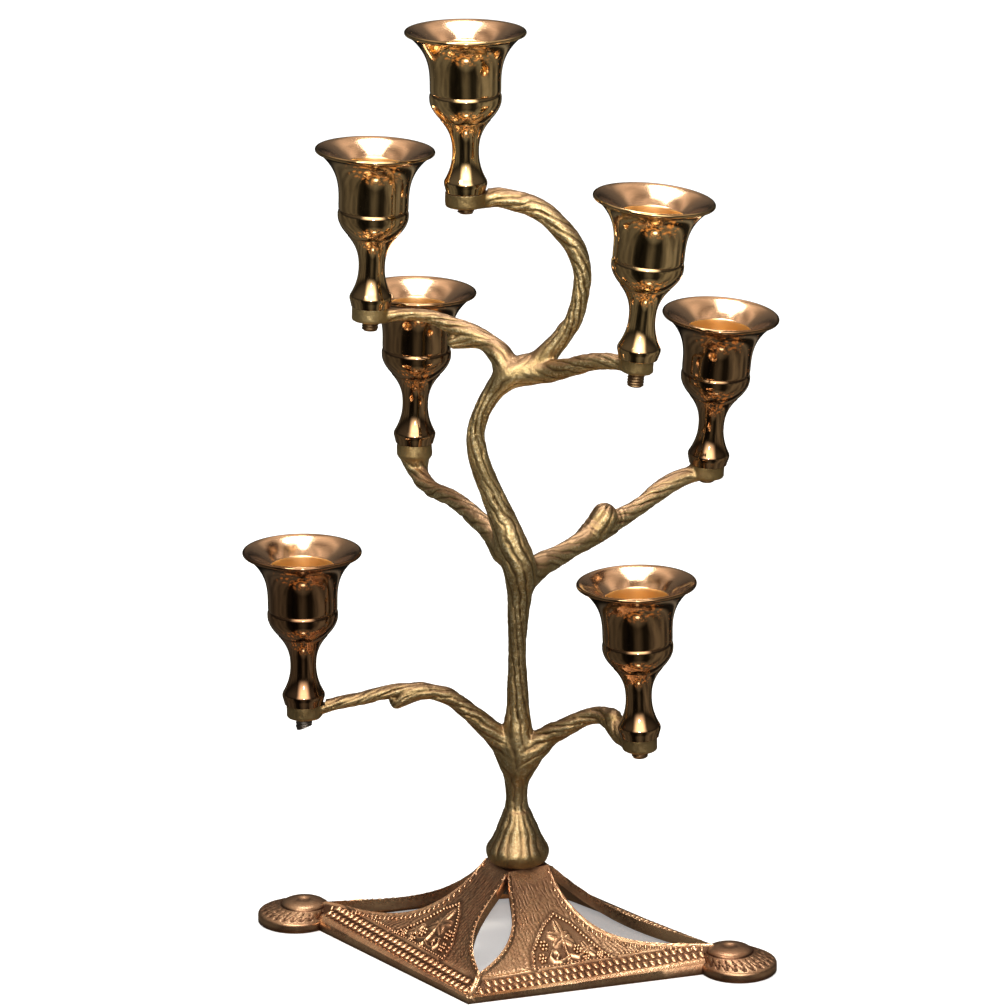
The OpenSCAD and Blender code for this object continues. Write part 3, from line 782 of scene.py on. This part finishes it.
def rough_tree():
    """The tree as overlapping bars, bosses and knob."""
    parts = []
    for chain in CHAINS:
        step = slice(None, None, 3)
        line = np.vstack([chain.line[step], chain.line[-1:]])
        side = np.vstack([chain.side[step], chain.side[-1:]])
        cross = np.vstack([chain.cross[step], chain.cross[-1:]])
        turn = np.arange(BAR_SIDES) * 2 * math.pi / BAR_SIDES
        ring = (np.cos(turn)[None, :, None] * side[:, None] + np.sin(turn)[None, :, None] * cross[:, None])
        v = line[:, None, :3] + ring * (line[:, None, 3:] + 0.25)
        faces = grid_faces(len(line), BAR_SIDES, wrap=True)
        parts.append(capped(v.reshape(-1, 3), faces, BAR_SIDES))
        end_v, end_f = small_ball(9, 16)
        parts.append((line[-1, :3] + end_v * line[-1, 3], end_f))
    for name in LIGHTS:
        r = BOSS_R[name]
        profile = [[0.01, -BOSS_T], [r, -BOSS_T], [r, 0.8], [0.01, 0.8]]
        parts.append(capped_lathe(profile, BOSS_SIDES, FOOT[name], AXIS[name]))
    profile = np.vstack([[[0.01, KNOB[0, 1]]], KNOB, [[0.01, KNOB[-1, 1]]]])
    parts.append(capped_lathe(profile, KNOB_SIDES, TRUNK, UP))
    return merge("tree_cast", parts)


def cutters():
    """Seats, stud holes and the hole for the base screw, as closed shapes."""
    shapes = []
    for name in LIGHTS:
        deep = -LIFT[name] - 3
        profile = [[STUD_BORE, deep], [STUD_BORE, -0.35], [STUD_BORE + 0.35, 0],
                   [SEAT_R, 0], [SEAT_R, SEAT_H]]
        shapes.append(capped_lathe(profile, SEAT_SIDES, FOOT[name], AXIS[name]))
    hole = [[SCREW_HOLE_R, APEX_Z - 2], [SCREW_HOLE_R, APEX_Z + SCREW_HOLE_H]]
    shapes.append(capped_lathe(hole, KNOB_SIDES, TRUNK, UP))
    return merge("cutters", shapes)


def make_tree():
    tree = rough_tree()
    remesh = tree.modifiers.new("voxels", "REMESH")
    remesh.mode = "VOXEL"
    remesh.voxel_size = VOXEL * MM
    apply_modifiers(tree)
    v, faces = arrays(tree)
    faces = np.array(faces)
    for _ in range(4):
        v = v - normals(v, faces) * np.clip(tree_distance(v), -0.6, 0.6)[:, None]
    height, deep = bark(v)
    v = v + normals(v, faces) * height[:, None]
    move_points(tree, v)
    tree.data.update()
    point_values(tree, "deep", deep)
    shade(tree, 60)
    combine(tree, cutters(), "DIFFERENCE")
    tree.data.set_sharp_from_angle(angle=math.radians(50))
    settle(tree, "frame", "tree", TREE)


make_tree()


# ---- base

APEX_R = 12.0
HALF_X = 83.0
LOBE_R = 14.0
HALF_Y = 60.5
EDGE = math.hypot(HALF_X + 1, HALF_Y)
WALL = 3.2
# Heights of a panel at the short diagonal's rim, its rise towards the lobes, and its height there
CORNER_RIM = 2.2
RIM_RISE = 1.8
LOBE_Z = 8.2
# How quickly a panel falls from the apex along each diagonal, and the flat band it ends in
FRONT_SAG = 1.65
SIDE_SAG = 4.3
LIP_H = 0.8
EDGE_BAND = 6
ROWS = 102
COLS = 192
COARSE = 6


def leaf_width(leaf, r):
    inner, outer, half, skew = leaf
    t = np.clip((r - inner) / (outer - inner), 0, 1)
    return half * np.sin(math.pi * t ** skew)


FRONT_LEAF = (12.5, 46.5, 6.6, 1.15)
SIDE_LEAF = (12.5, 73, 10, 0.7)


def panel_plan(u, v):
    ry = APEX_R + v * (HALF_Y - APEX_R)
    rx = APEX_R + v * (HALF_X + 1 - APEX_R)
    front = leaf_width(FRONT_LEAF, ry)
    side = leaf_width(SIDE_LEAF, rx)
    return (1 - u) * front + u * rx, (1 - u) * ry + u * side


def from_edge(x, y):
    return (1 - x / (HALF_X + 1) - y / HALF_Y) * HALF_X * HALF_Y / math.hypot(HALF_X, HALF_Y)


def rim_top(x):
    return CORNER_RIM + RIM_RISE * x / HALF_X


def panel_top(u, v, x, y):
    front = CORNER_RIM + (APEX_Z - CORNER_RIM) * (1 - v) ** FRONT_SAG
    side = LOBE_Z + (APEX_Z - LOBE_Z) * (1 - v) ** SIDE_SAG
    open_z = (1 - u) * front + u * side
    lip = LIP_H * np.abs(2 * u - 1) ** 10 * np.minimum(1, 5 * v) * np.minimum(1, 5 * (1 - v))
    fade = np.clip(from_edge(x, y) / EDGE_BAND, 0, 1) ** 0.8
    return rim_top(x) + (open_z + lip - rim_top(x)) * fade


def edge_coords(x, y):
    """Distance along the rim from the front corner, and inwards from it."""
    t = ((HALF_X + 1) * x - HALF_Y * (y - HALF_Y)) / EDGE
    d = ((HALF_X + 1) * HALF_Y - HALF_Y * x - (HALF_X + 1) * y) / EDGE
    return t, d


def bump_line(distance, half, high):
    """A rounded ridge over a distance from its crest."""
    return high * np.sqrt(np.clip(1 - (distance / half) ** 2, 0, 1))


def side_at(d, points):
    """How far along the rim a side of the cartouche lies at each distance inwards."""
    along, inward = np.array(points[::-1], float).T
    return np.interp(d, inward, along)


def path_distance(x, y, points):
    """Distance in plan from points x, y to a line through points."""
    best = np.full(x.shape, 99.0)
    for (ax, ay), (bx, by) in zip(points[:-1], points[1:]):
        dx, dy = bx - ax, by - ay
        t = np.clip(((x - ax) * dx + (y - ay) * dy) / (dx * dx + dy * dy), 0, 1)
        best = np.minimum(best, np.hypot(x - ax - t * dx, y - ay - t * dy))
    return best


# The ornament, as distances along the rim from the front corner and inwards from the rim
CARTOUCHE_LEFT = [(41.4, 27), (37, 23.6), (32.5, 18.4), (29.8, 15), (28.5, 9.8)]
CARTOUCHE_RIGHT = [(41.4, 27), (46.5, 24.4), (50.8, 18.8), (55, 12.5), (58.5, 9.2)]
LEAVES = [((42.1, 18.6), [(40.7, 25), (36.7, 20.2), (44.9, 20.2), (38.2, 16.2), (45.6, 16.4)], 1.5),
          ((50.0, 13.6), [(48.6, 17.0), (52.6, 15.0), (47.2, 13.4), (52.4, 11.6)], 1.1)]
STEMS = [[(42.1, 18.6), (42.0, 14), (42.5, 10)], [(42.2, 13), (46, 11.5), (50.0, 13.6)],
         [(42.3, 12), (39, 10.8), (36.4, 11.3), (35.6, 12.9), (36.6, 14.3), (38.3, 14.2), (38.9, 12.9),
          (37.9, 12.2)]]
GRAPES = [(34.2, 16.8, 1.0), (32.6, 13.0, 0.9), (46.4, 14.6, 1.0), (48.6, 11.6, 0.8), (53.8, 11.6, 0.7)]
BEAD_ROWS = [(3.7, 3.4, 2.0, 0.0), (6.8, 3.7, 2.2, 1.5)]
BEAD_PITCH = 2.7
DASH_PITCH = 1.05
# Width of the beaded band along the rim, where its raised line stands, and where the hatched field starts
BAND = 9.2
BAND_LINE = 8.9
FIELD = 9.6


def relief(x, y):
    """Height of the cast ornament over the plain panel at plan points, and how deep each point lies."""
    t, d = edge_coords(x, y)
    flat = np.stack([x, y, 0 * x], axis=1)
    radius = np.hypot(x, y) + 0.45 * noise(flat, 4.0, 13)
    field = smoothstep(d, 1.9, 2.4)
    z = 0 * d
    gap = np.minimum(path_distance(t, d, CARTOUCHE_LEFT), path_distance(t, d, CARTOUCHE_RIGHT))
    in_cartouche = (t > side_at(d, CARTOUCHE_LEFT)) & (t < side_at(d, CARTOUCHE_RIGHT))
    in_cartouche = in_cartouche & (d < CARTOUCHE_LEFT[0][1]) & (d > FIELD)
    angle = np.arctan2(y + 3, x + 3)
    row = np.floor(radius / DASH_PITCH)
    dash = np.abs(np.sin(angle * (radius + 5) * 1.9 + row * 1.9 + 1.5 * noise(flat, 1.8, 12)))
    fine = smoothstep(d, FIELD, FIELD + 0.8) * smoothstep(radius, 11, 14) * ~in_cartouche
    pits = fine * (1 - dash) ** 0.6 * smoothstep(np.abs(np.sin(radius * math.pi / DASH_PITCH)), 0.1, 0.4)
    z = z - 0.28 * pits
    deep = 0.6 * fine * (0.3 + 1.1 * pits)
    band = field * (d < BAND)
    z = z - 0.32 * band
    deep = np.maximum(deep, 0.95 * band * smoothstep(d, 2.2, 2.9))
    z = z + bump_line(d - BAND_LINE, 0.5, 0.5)
    deep = deep * (1 - bump_line(d - BAND_LINE, 0.5, 0.8))
    z = z - 0.4 * np.exp(-((gap - 1.1) / 0.45) ** 2)
    deep = np.maximum(deep, 0.9 * np.exp(-((gap - 1.05) / 0.5) ** 2))
    z = z - 0.35 * in_cartouche
    deep = np.where(in_cartouche, 0.72, deep)
    for (cx, cy), tips, half in LEAVES:
        for tx, ty in tips:
            mx, my = (cx + tx) / 2, (cy + ty) / 2
            length = math.hypot(tx - cx, ty - cy) / 2 + 0.25
            ux, uy = (tx - cx) / (2 * length), (ty - cy) / (2 * length)
            a = ((t - mx) * ux + (d - my) * uy) / length
            b = (-(t - mx) * uy + (d - my) * ux) / half
            r2 = a * a + b * b
            lobe = 0.95 * np.sqrt(np.clip(1 - r2, 0, 1))
            vein = np.exp(-(b * half / 0.3) ** 2)
            z = np.where(r2 < 1, np.maximum(z, lobe - 0.35 - 0.4 * vein), z)
            deep = np.where(r2 < 0.85, np.clip(0.15 + 0.8 * vein, 0, 1), deep)
    for stem in STEMS:
        ridge = bump_line(path_distance(t, d, stem), 0.55, 0.9)
        z = np.maximum(z, ridge - 0.35)
        deep = deep * (1 - 0.9 * smoothstep(ridge, 0.2, 0.6))
    front_gap = np.where(leaf_width(FRONT_LEAF, y) > 0, x - leaf_width(FRONT_LEAF, y), 9)
    side_gap = np.where(leaf_width(SIDE_LEAF, x) > 0, y - leaf_width(SIDE_LEAF, x), 9)
    lip = np.maximum(bump_line(front_gap - 0.6, 0.75, 0.75), bump_line(side_gap - 0.5, 0.6, 0.35))
    z = z + lip
    deep = deep * (1 - smoothstep(lip, 0.05, 0.4))
    z = z + 0.03 * noise(flat, 1.3, 11)
    return z, deep


def quarter_surface():
    """Grid of one quarter: plan positions, heights and depth of the ornament."""
    v, u = np.meshgrid(np.linspace(0, 1, ROWS + 1), np.linspace(0, 1, COLS + 1), indexing="ij")
    u, v = u.ravel(), v.ravel()
    x, y = panel_plan(u, v)
    z = panel_top(u, v, x, y)
    raised, deep = relief(x, y)
    keep = np.minimum(1, from_edge(x, y) / 0.6)
    border = smoothstep(np.minimum(u, 1 - u), 0.0, 0.012)
    return u, v, np.stack([x, y, z + raised * keep * border], axis=1), deep * border


def quarter_panel():
    """Vertices, faces and depth of one closed quarter panel with open seams on the two diagonals."""
    u, v, top, deep = quarter_surface()
    cols = COLS + 1
    index = np.arange((ROWS + 1) * cols).reshape(ROWS + 1, cols)
    coarse = index[::COARSE, ::COARSE]
    cu, cv = u[coarse], v[coarse]
    x, y = top[coarse][..., 0], top[coarse][..., 1]
    under_z = panel_top(cu, cv, x, y) - WALL - 1.3 * np.abs(2 * cu - 1) ** 8
    under_z = np.clip(np.minimum(under_z, 2 * (from_edge(x, y) - 4)), 0, None)
    under = np.stack([x, y, under_z], axis=-1).reshape(-1, 3)
    base = len(top)
    low = base + np.arange(len(under)).reshape(coarse.shape)
    faces = grid_faces(*index.shape)[:, [0, 3, 2, 1]].tolist()
    faces += (base + grid_faces(*coarse.shape)).tolist()
    edges = [(index[0], low[0], False), (index[-1], low[-1], True),
             (index[:, 0], low[:, 0], True), (index[:, -1], low[:, -1], False)]
    for fine, below, flip in edges:
        for k in range(len(below) - 1):
            span = fine[k * COARSE:(k + 1) * COARSE + 1]
            if abs(top[span[:-1], 0]).max() < 0.01 or abs(top[span[:-1], 1]).max() < 0.01:
                continue
            loop = [below[k]] + [int(i) for i in span] + [below[k + 1]]
            faces.append(loop[::-1] if flip else loop)
    # The underside is painted half dark as shade
    return np.vstack([top, under]), faces, np.append(deep, np.full(len(under), 0.5))


class Stamper:
    """Collects small closed beads set on the ornamented surface of one quarter."""

    def __init__(self, top, grid_normals):
        self.top, self.normals = top, grid_normals
        self.ball = small_ball()
        self.parts = []

    def bead(self, x, y, long, wide, high, direction):
        i = np.argmin((self.top[:, 0] - x) ** 2 + (self.top[:, 1] - y) ** 2)
        n = self.normals[i]
        g = self.top[i]
        z = g[2] - (n[0] * (x - g[0]) + n[1] * (y - g[1])) / n[2]
        along = np.array([direction[0], direction[1], 0.0])
        along = along - (along @ n) * n
        along = along / np.linalg.norm(along)
        across = np.cross(n, along)
        v, f = self.ball
        self.parts.append((np.array([x, y, z]) + v[:, :1] * along * long / 2 + v[:, 1:2] * across * wide / 2
                           + v[:, 2:] * n * high, f))


def stamp_ornament(stamper):
    along_x, along_y = (HALF_X + 1) / EDGE, -HALF_Y / EDGE
    in_x, in_y = -HALF_Y / EDGE, -(HALF_X + 1) / EDGE

    def at(t, d):
        return t * along_x + d * in_x, HALF_Y + t * along_y + d * in_y

    lean = np.array([in_x - 0.35 * along_x, in_y - 0.35 * along_y])
    for d, long, wide, start in BEAD_ROWS:
        t = 3.5 + start + d * 0.7
        while t < EDGE - 13:
            x, y = at(t, d)
            if x > 0.2 + leaf_width(FRONT_LEAF, y) and y > leaf_width(SIDE_LEAF, x) + 1.4:
                stamper.bead(x, y, long, wide, 0.75, lean)
            t += BEAD_PITCH
    for points, pitch, size in ((CARTOUCHE_LEFT, 1.3, 1.2), (CARTOUCHE_RIGHT, 1.2, 1.4)):
        line = np.array(points, float)
        s = np.append(0, np.cumsum(np.hypot(*np.diff(line, axis=0).T)))
        for k in np.arange(0, s[-1], pitch):
            x, y = at(np.interp(k, s, line[:, 0]), np.interp(k, s, line[:, 1]))
            stamper.bead(x, y, size, size, 0.6, (1, 0.4))
    for k in np.arange(30, 72, 1.4):
        x, y = at(k, 10.2)
        stamper.bead(x, y, 1.1, 1.0, 0.45, (along_x, along_y))
    for t, d, spread in GRAPES:
        for k in range(7):
            a = k * math.pi / 3
            r = 0 if k == 6 else 1.25 * spread
            x, y = at(t + r * math.cos(a), d + r * math.sin(a))
            stamper.bead(x, y, 1.4, 1.4, 0.75, (1, 0))
    for k in np.arange(12.5, 71, 1.75):
        stamper.bead(k, leaf_width(SIDE_LEAF, k) + 1.9, 2.3, 1.15, 0.5, (0.35, 1))
    for k in np.arange(12.5, 46, 1.7):
        stamper.bead(leaf_width(FRONT_LEAF, k) + 0.9, k, 1.1, 0.9, 0.4, (0, 1))
    for k in range(5):
        a = math.radians(45 * k - 90)
        out = (math.cos(a), math.sin(a))
        stamper.bead(1.6 + 1.2 * out[0], 53.5 + 1.2 * out[1], 1.6, 0.9, 0.45, out)


def mirrored(v, faces, mx, my):
    v = v * np.array([mx, my, 1.0])
    return v, [f[::-1] for f in faces] if mx * my < 0 else faces


PETALS = 23
LOBE_SIDES = 168
PLATFORM_SIDES = 96
# Signs that mirror one quarter into all four
QUARTERS = [(1, 1), (1, -1), (-1, 1), (-1, -1)]
# How much nearer to the trunk a foot's dome stands than the middle of its disc
DOME_SHIFT = 3.2


def lobe_mesh(side):
    """A round foot with a sloping shoulder, a ring of petals and a low dome with a dimple."""
    profile = np.vstack([[[0, 0], [13.6, 0], [LOBE_R, 0.4]], arc([12.7, 2.8], 1.3, 0, 62, 7),
                         np.stack([np.linspace(13.1, 8.9, 26), np.linspace(4.1, 6.95, 26)], axis=1),
                         [[8.7, 6.9], [8.5, 6.75], [8.3, 7.1], [8.1, 7.5], [7.6, 7.9], [6.6, 8.35],
                          [5.5, 8.65], [4, 8.95], [3, 9.02], [2.4, 8.95], [1.8, 8.6], [1, 8.4], [0, 8.35]]])
    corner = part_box("base")[0 if side < 0 else 1].x / MM
    centre = np.array([corner - side * LOBE_R, TRUNK[1], 0])
    lobe = new_mesh("lobe", *closed_lathe(profile, LOBE_SIDES, centre, UP))
    v, _ = arrays(lobe)
    r = np.hypot(v[:, 0] - centre[0], v[:, 1] - centre[1])
    turn = np.arctan2(v[:, 1] - centre[1], v[:, 0] - centre[0])
    wave = np.abs(np.cos(turn * PETALS / 2))
    line = 9.4 + 3.1 * wave
    groove = np.exp(-((r - line) / 0.45) ** 2) * ((r > 8.8) & (r < 13) & (v[:, 2] > 3.9))
    v[:, 2] -= 0.5 * groove
    v[:, 0] -= side * DOME_SHIFT * (1 - smoothstep(r, 8.7, 13.4)) * (v[:, 2] > 1)
    move_points(lobe, v)
    found = arrays(lobe)
    bpy.data.objects.remove(lobe)
    # Painted shade over the whole foot, darker still in the petal groove and the ring round the dome
    return found, np.clip(0.6 + groove + (np.abs(r - 8.5) < 0.25), 0, 1)


def make_base():
    v, faces, deep = quarter_panel()
    top_count = (ROWS + 1) * (COLS + 1)
    top_faces = np.array(faces[:ROWS * COLS])
    stamper = Stamper(v[:top_count], normals(v[:top_count], top_faces))
    stamp_ornament(stamper)
    parts = []
    extras = []
    extra_depth = []
    for signs in QUARTERS:
        moved, turned = mirrored(v, faces, *signs)
        parts.append((moved + TRUNK, turned))
        for bead_v, bead_f in stamper.parts:
            moved, turned = mirrored(bead_v, bead_f, *signs)
            extras.append((moved + TRUNK, turned))
            extra_depth.append(np.zeros(len(moved)))
    panels = merge("base_cast", parts)
    point_values(panels, "deep", np.tile(deep, len(QUARTERS)))
    weld = panels.modifiers.new("weld", "WELD")
    weld.merge_threshold = 0.02 * MM
    apply_modifiers(panels)
    for side in (-1, 1):
        (lobe_v, lobe_f), lobe_deep = lobe_mesh(side)
        extras.append((lobe_v, lobe_f))
        extra_depth.append(lobe_deep)
    low = APEX_Z - 4
    platform = [[4.5, low + 0.2], [4.7, low], [13.3, low], [13.5, low + 0.2], [12.2, APEX_Z - 0.2],
                [11.9, APEX_Z], [4.7, APEX_Z], [4.5, APEX_Z - 0.2], [4.5, low + 0.2]]
    ring_v, ring_f = lathe(platform, PLATFORM_SIDES, (0, 0, 0), UP)
    keep = (len(platform) - 1) * PLATFORM_SIDES
    ring_v = ring_v[:keep]
    r = np.hypot(ring_v[:, 0], ring_v[:, 1])
    outer = r > 8
    # Pulls the outer rings in from a circle to a diamond
    ring_v[outer, :2] *= (r / np.abs(ring_v[:, :2]).sum(1))[outer, None]
    extras.append((ring_v + TRUNK, ring_f % keep))
    # The platform under the knob is painted dark as shade
    extra_depth.append(np.full(keep, 0.6))
    ornament = merge("ornament", extras)
    point_values(ornament, "deep", np.concatenate(extra_depth))
    bpy.ops.object.select_all(action="DESELECT")
    ornament.select_set(True)
    panels.select_set(True)
    bpy.context.view_layer.objects.active = panels
    bpy.ops.object.join()
    shade(panels, 50)
    settle(panels, "frame", "base", BASE)


make_base()


# ---- floor, light and camera

CAMERA_AZIMUTH = 17
CAMERA_ELEVATION = 16.5
CAMERA_DISTANCE = 1.885
LENS = 189.85


def toward(azimuth, elevation):
    """Direction from the object to a viewer at an azimuth from its front and an elevation, in degrees."""
    a, e = math.radians(azimuth), math.radians(elevation)
    return math.sin(a) * math.cos(e), -math.cos(a) * math.cos(e), math.sin(e)


FLOOR_REACH = 3000.0
FLOOR_LINES = 13


def paint_floor(g):
    colour = g.mix(g.noise(place(g), 3.0), (0.86, 0.86, 0.86), (0.9, 0.9, 0.9))
    return {"Base Color": colour, "Roughness": 0.9, "Specular IOR Level": 0.0,
            "Emission Color": (1, 1, 1, 1), "Emission Strength": 0.3}


def make_floor():
    line = np.linspace(-FLOOR_REACH, FLOOR_REACH, FLOOR_LINES)
    gx, gy = np.meshgrid(line, line)
    verts = np.stack([gx.ravel(), gy.ravel(), 0 * gx.ravel()], axis=1)
    floor = new_mesh("floor", verts, grid_faces(FLOOR_LINES, FLOOR_LINES))
    floor.data.materials.append(surface("pale_floor", paint_floor))
    floor.visible_glossy = False


make_floor()


# Tan columns seen in the metal: from and to in degrees right of the camera, softness and strength
COLUMNS = [(-152, -58, 12, 0.17), (-10, 14, 9, 0.10), (40, 124, 8, 0.27), (-60, -56, 3, 0.12),
           (150, 158, 4, 0.3)]


def make_world():
    """Pale all round for the eye and for diffuse light, dark brown with tan columns in mirrors."""
    world = bpy.data.worlds.new("studio")
    world.use_nodes = True
    bpy.context.scene.world = world
    g = Graph(world.node_tree)
    direction = g.add("ShaderNodeTexCoord").outputs["Generated"]
    axes = g.add("ShaderNodeSeparateXYZ", {"Vector": direction})
    x, y, z = axes.outputs
    azimuth = g.math("ARCTAN2", x, g.times(y, -1.0))
    azimuth = g.math("SUBTRACT", azimuth, math.radians(CAMERA_AZIMUTH))

    def band(low, high, soft, strength):
        """A smooth vertical band between two azimuths, in degrees right of the camera."""
        low, high, soft = math.radians(low), math.radians(high), math.radians(soft)
        rise = g.ramp(azimuth, low - soft, low + soft)
        fall = g.ramp(azimuth, high + soft, high - soft)
        return g.times(g.times(rise, fall), strength)

    def spot(bearing, rise, inner, outer, strength):
        """A round spot of light at degrees right of the camera and degrees up."""
        aimed = {0: direction, 1: toward(bearing + CAMERA_AZIMUTH, rise)}
        dot = g.add("ShaderNodeVectorMath", aimed, operation="DOT_PRODUCT").outputs["Value"]
        inside = g.ramp(dot, math.cos(math.radians(outer)), math.cos(math.radians(inner)))
        return g.times(inside, strength)

    total = 0.02
    for column in COLUMNS:
        total = g.plus(band(*column), total)
    flat = g.add("ShaderNodeCombineXYZ", {"X": azimuth, "Y": g.times(z, 0.5)}).outputs[0]
    streak = g.noise(flat, 2.6, 3.0, 0.5)
    total = g.times(total, g.plus(0.25, g.times(g.ramp(streak, 0.25, 0.75), 1.1)))
    lower = g.mix(1.0, (0.95, 0.85, 0.66), g.triple(total), "MULTIPLY")
    glow = g.times(g.ramp(z, -0.76, -0.92), g.ramp(g.noise(direction, 9.0, 2.0), 0.53, 0.63))
    lower = g.mix(g.times(glow, 0.85), lower, (1.5, 0.68, 0.22))
    sparks = g.ramp(g.noise(direction, 15.0, 2.0, 0.8), 0.68, 0.73)
    right = g.times(g.ramp(azimuth, 1.2, 1.7), sparks)
    lower = g.mix(right, lower, (2.6, 1.15, 0.4))
    star = g.plus(spot(5, -69, 1.5, 4.5, 7.0), spot(5, -60, 6, 24, 0.16))
    tint = (g.times(star, share) for share in (1.0, 0.93, 0.75))
    star_light = g.add("ShaderNodeCombineXYZ", dict(zip("XYZ", tint))).outputs[0]
    lower = g.mix(1.0, lower, star_light, "ADD")
    shade_streak = g.ramp(g.noise(flat, 2.6, 4.0, 0.6), 0.38, 0.62)
    upper = g.mix(shade_streak, (0.20, 0.14, 0.10), (1.05, 0.82, 0.62))
    ahead = g.plus(band(-26, 30, 18, 6.5), 0.15)
    ahead = g.times(ahead, g.ramp(z, 0.02, 0.6))
    belt = g.mix(1.0, (1.0, 0.86, 0.72), g.triple(ahead), "MULTIPLY")
    upper = g.mix(g.ramp(z, 0.55, 0.8), belt, upper)
    glossy = g.mix(g.ramp(z, -0.05, 0.2), lower, upper)
    eye = g.mix(g.ramp(z, -0.2, 0.6), (0.93, 0.93, 0.93), (0.97, 0.97, 0.97))
    soft = (0.95, 0.95, 0.94)
    path = g.add("ShaderNodeLightPath")
    colour = g.mix(path.outputs["Is Glossy Ray"], soft, glossy)
    colour = g.mix(path.outputs["Is Camera Ray"], colour, eye)
    background = g.add("ShaderNodeBackground", {"Color": colour, "Strength": 1.0})
    out = g.add("ShaderNodeOutputWorld")
    g.tree.links.new(background.outputs[0], out.inputs[0])


make_world()


def aim(obj, target):
    back = Vector(obj.location) - Vector(target)
    obj.rotation_euler = back.to_track_quat("Z", "Y").to_euler()


def area_light(name, where, target, size, power, colour):
    data = bpy.data.lights.new(name, "AREA")
    data.shape = "RECTANGLE"
    data.size, data.size_y = size
    data.energy = power
    data.color = colour
    light = bpy.data.objects.new(name, data)
    light.location = where
    bpy.context.scene.collection.objects.link(light)
    aim(light, target)


MIDDLE = Vector(TRUNK * MM) + Vector((0, 0, 0.17))


def around(azimuth, elevation, distance):
    """A point at a distance from the object's middle, in metres."""
    return MIDDLE + distance * Vector(toward(azimuth, elevation))


area_light("overhead", around(CAMERA_AZIMUTH + 180, 79, 1.2), MIDDLE, (0.44, 0.5), 8.5, (1, 0.95, 0.86))
area_light("key", around(-15, 48, 1.3), MIDDLE, (0.3, 0.3), 5, (1, 0.93, 0.8))
area_light("flash", around(18, 19, 1.8), MIDDLE, (0.1, 0.1), 7, (1, 0.95, 0.86))

TARGET = Vector(TRUNK * MM) + Vector((-0.0059, -0.0018, 0.1683))
camera_data = bpy.data.cameras.new("camera")
camera_data.lens = LENS
camera_data.clip_end = 20
camera = bpy.data.objects.new("camera", camera_data)
camera.location = TARGET + CAMERA_DISTANCE * Vector(toward(CAMERA_AZIMUTH, CAMERA_ELEVATION))
bpy.context.scene.collection.objects.link(camera)
aim(camera, TARGET)
bpy.context.scene.camera = camera
bpy.context.scene.view_settings.view_transform = "Standard"
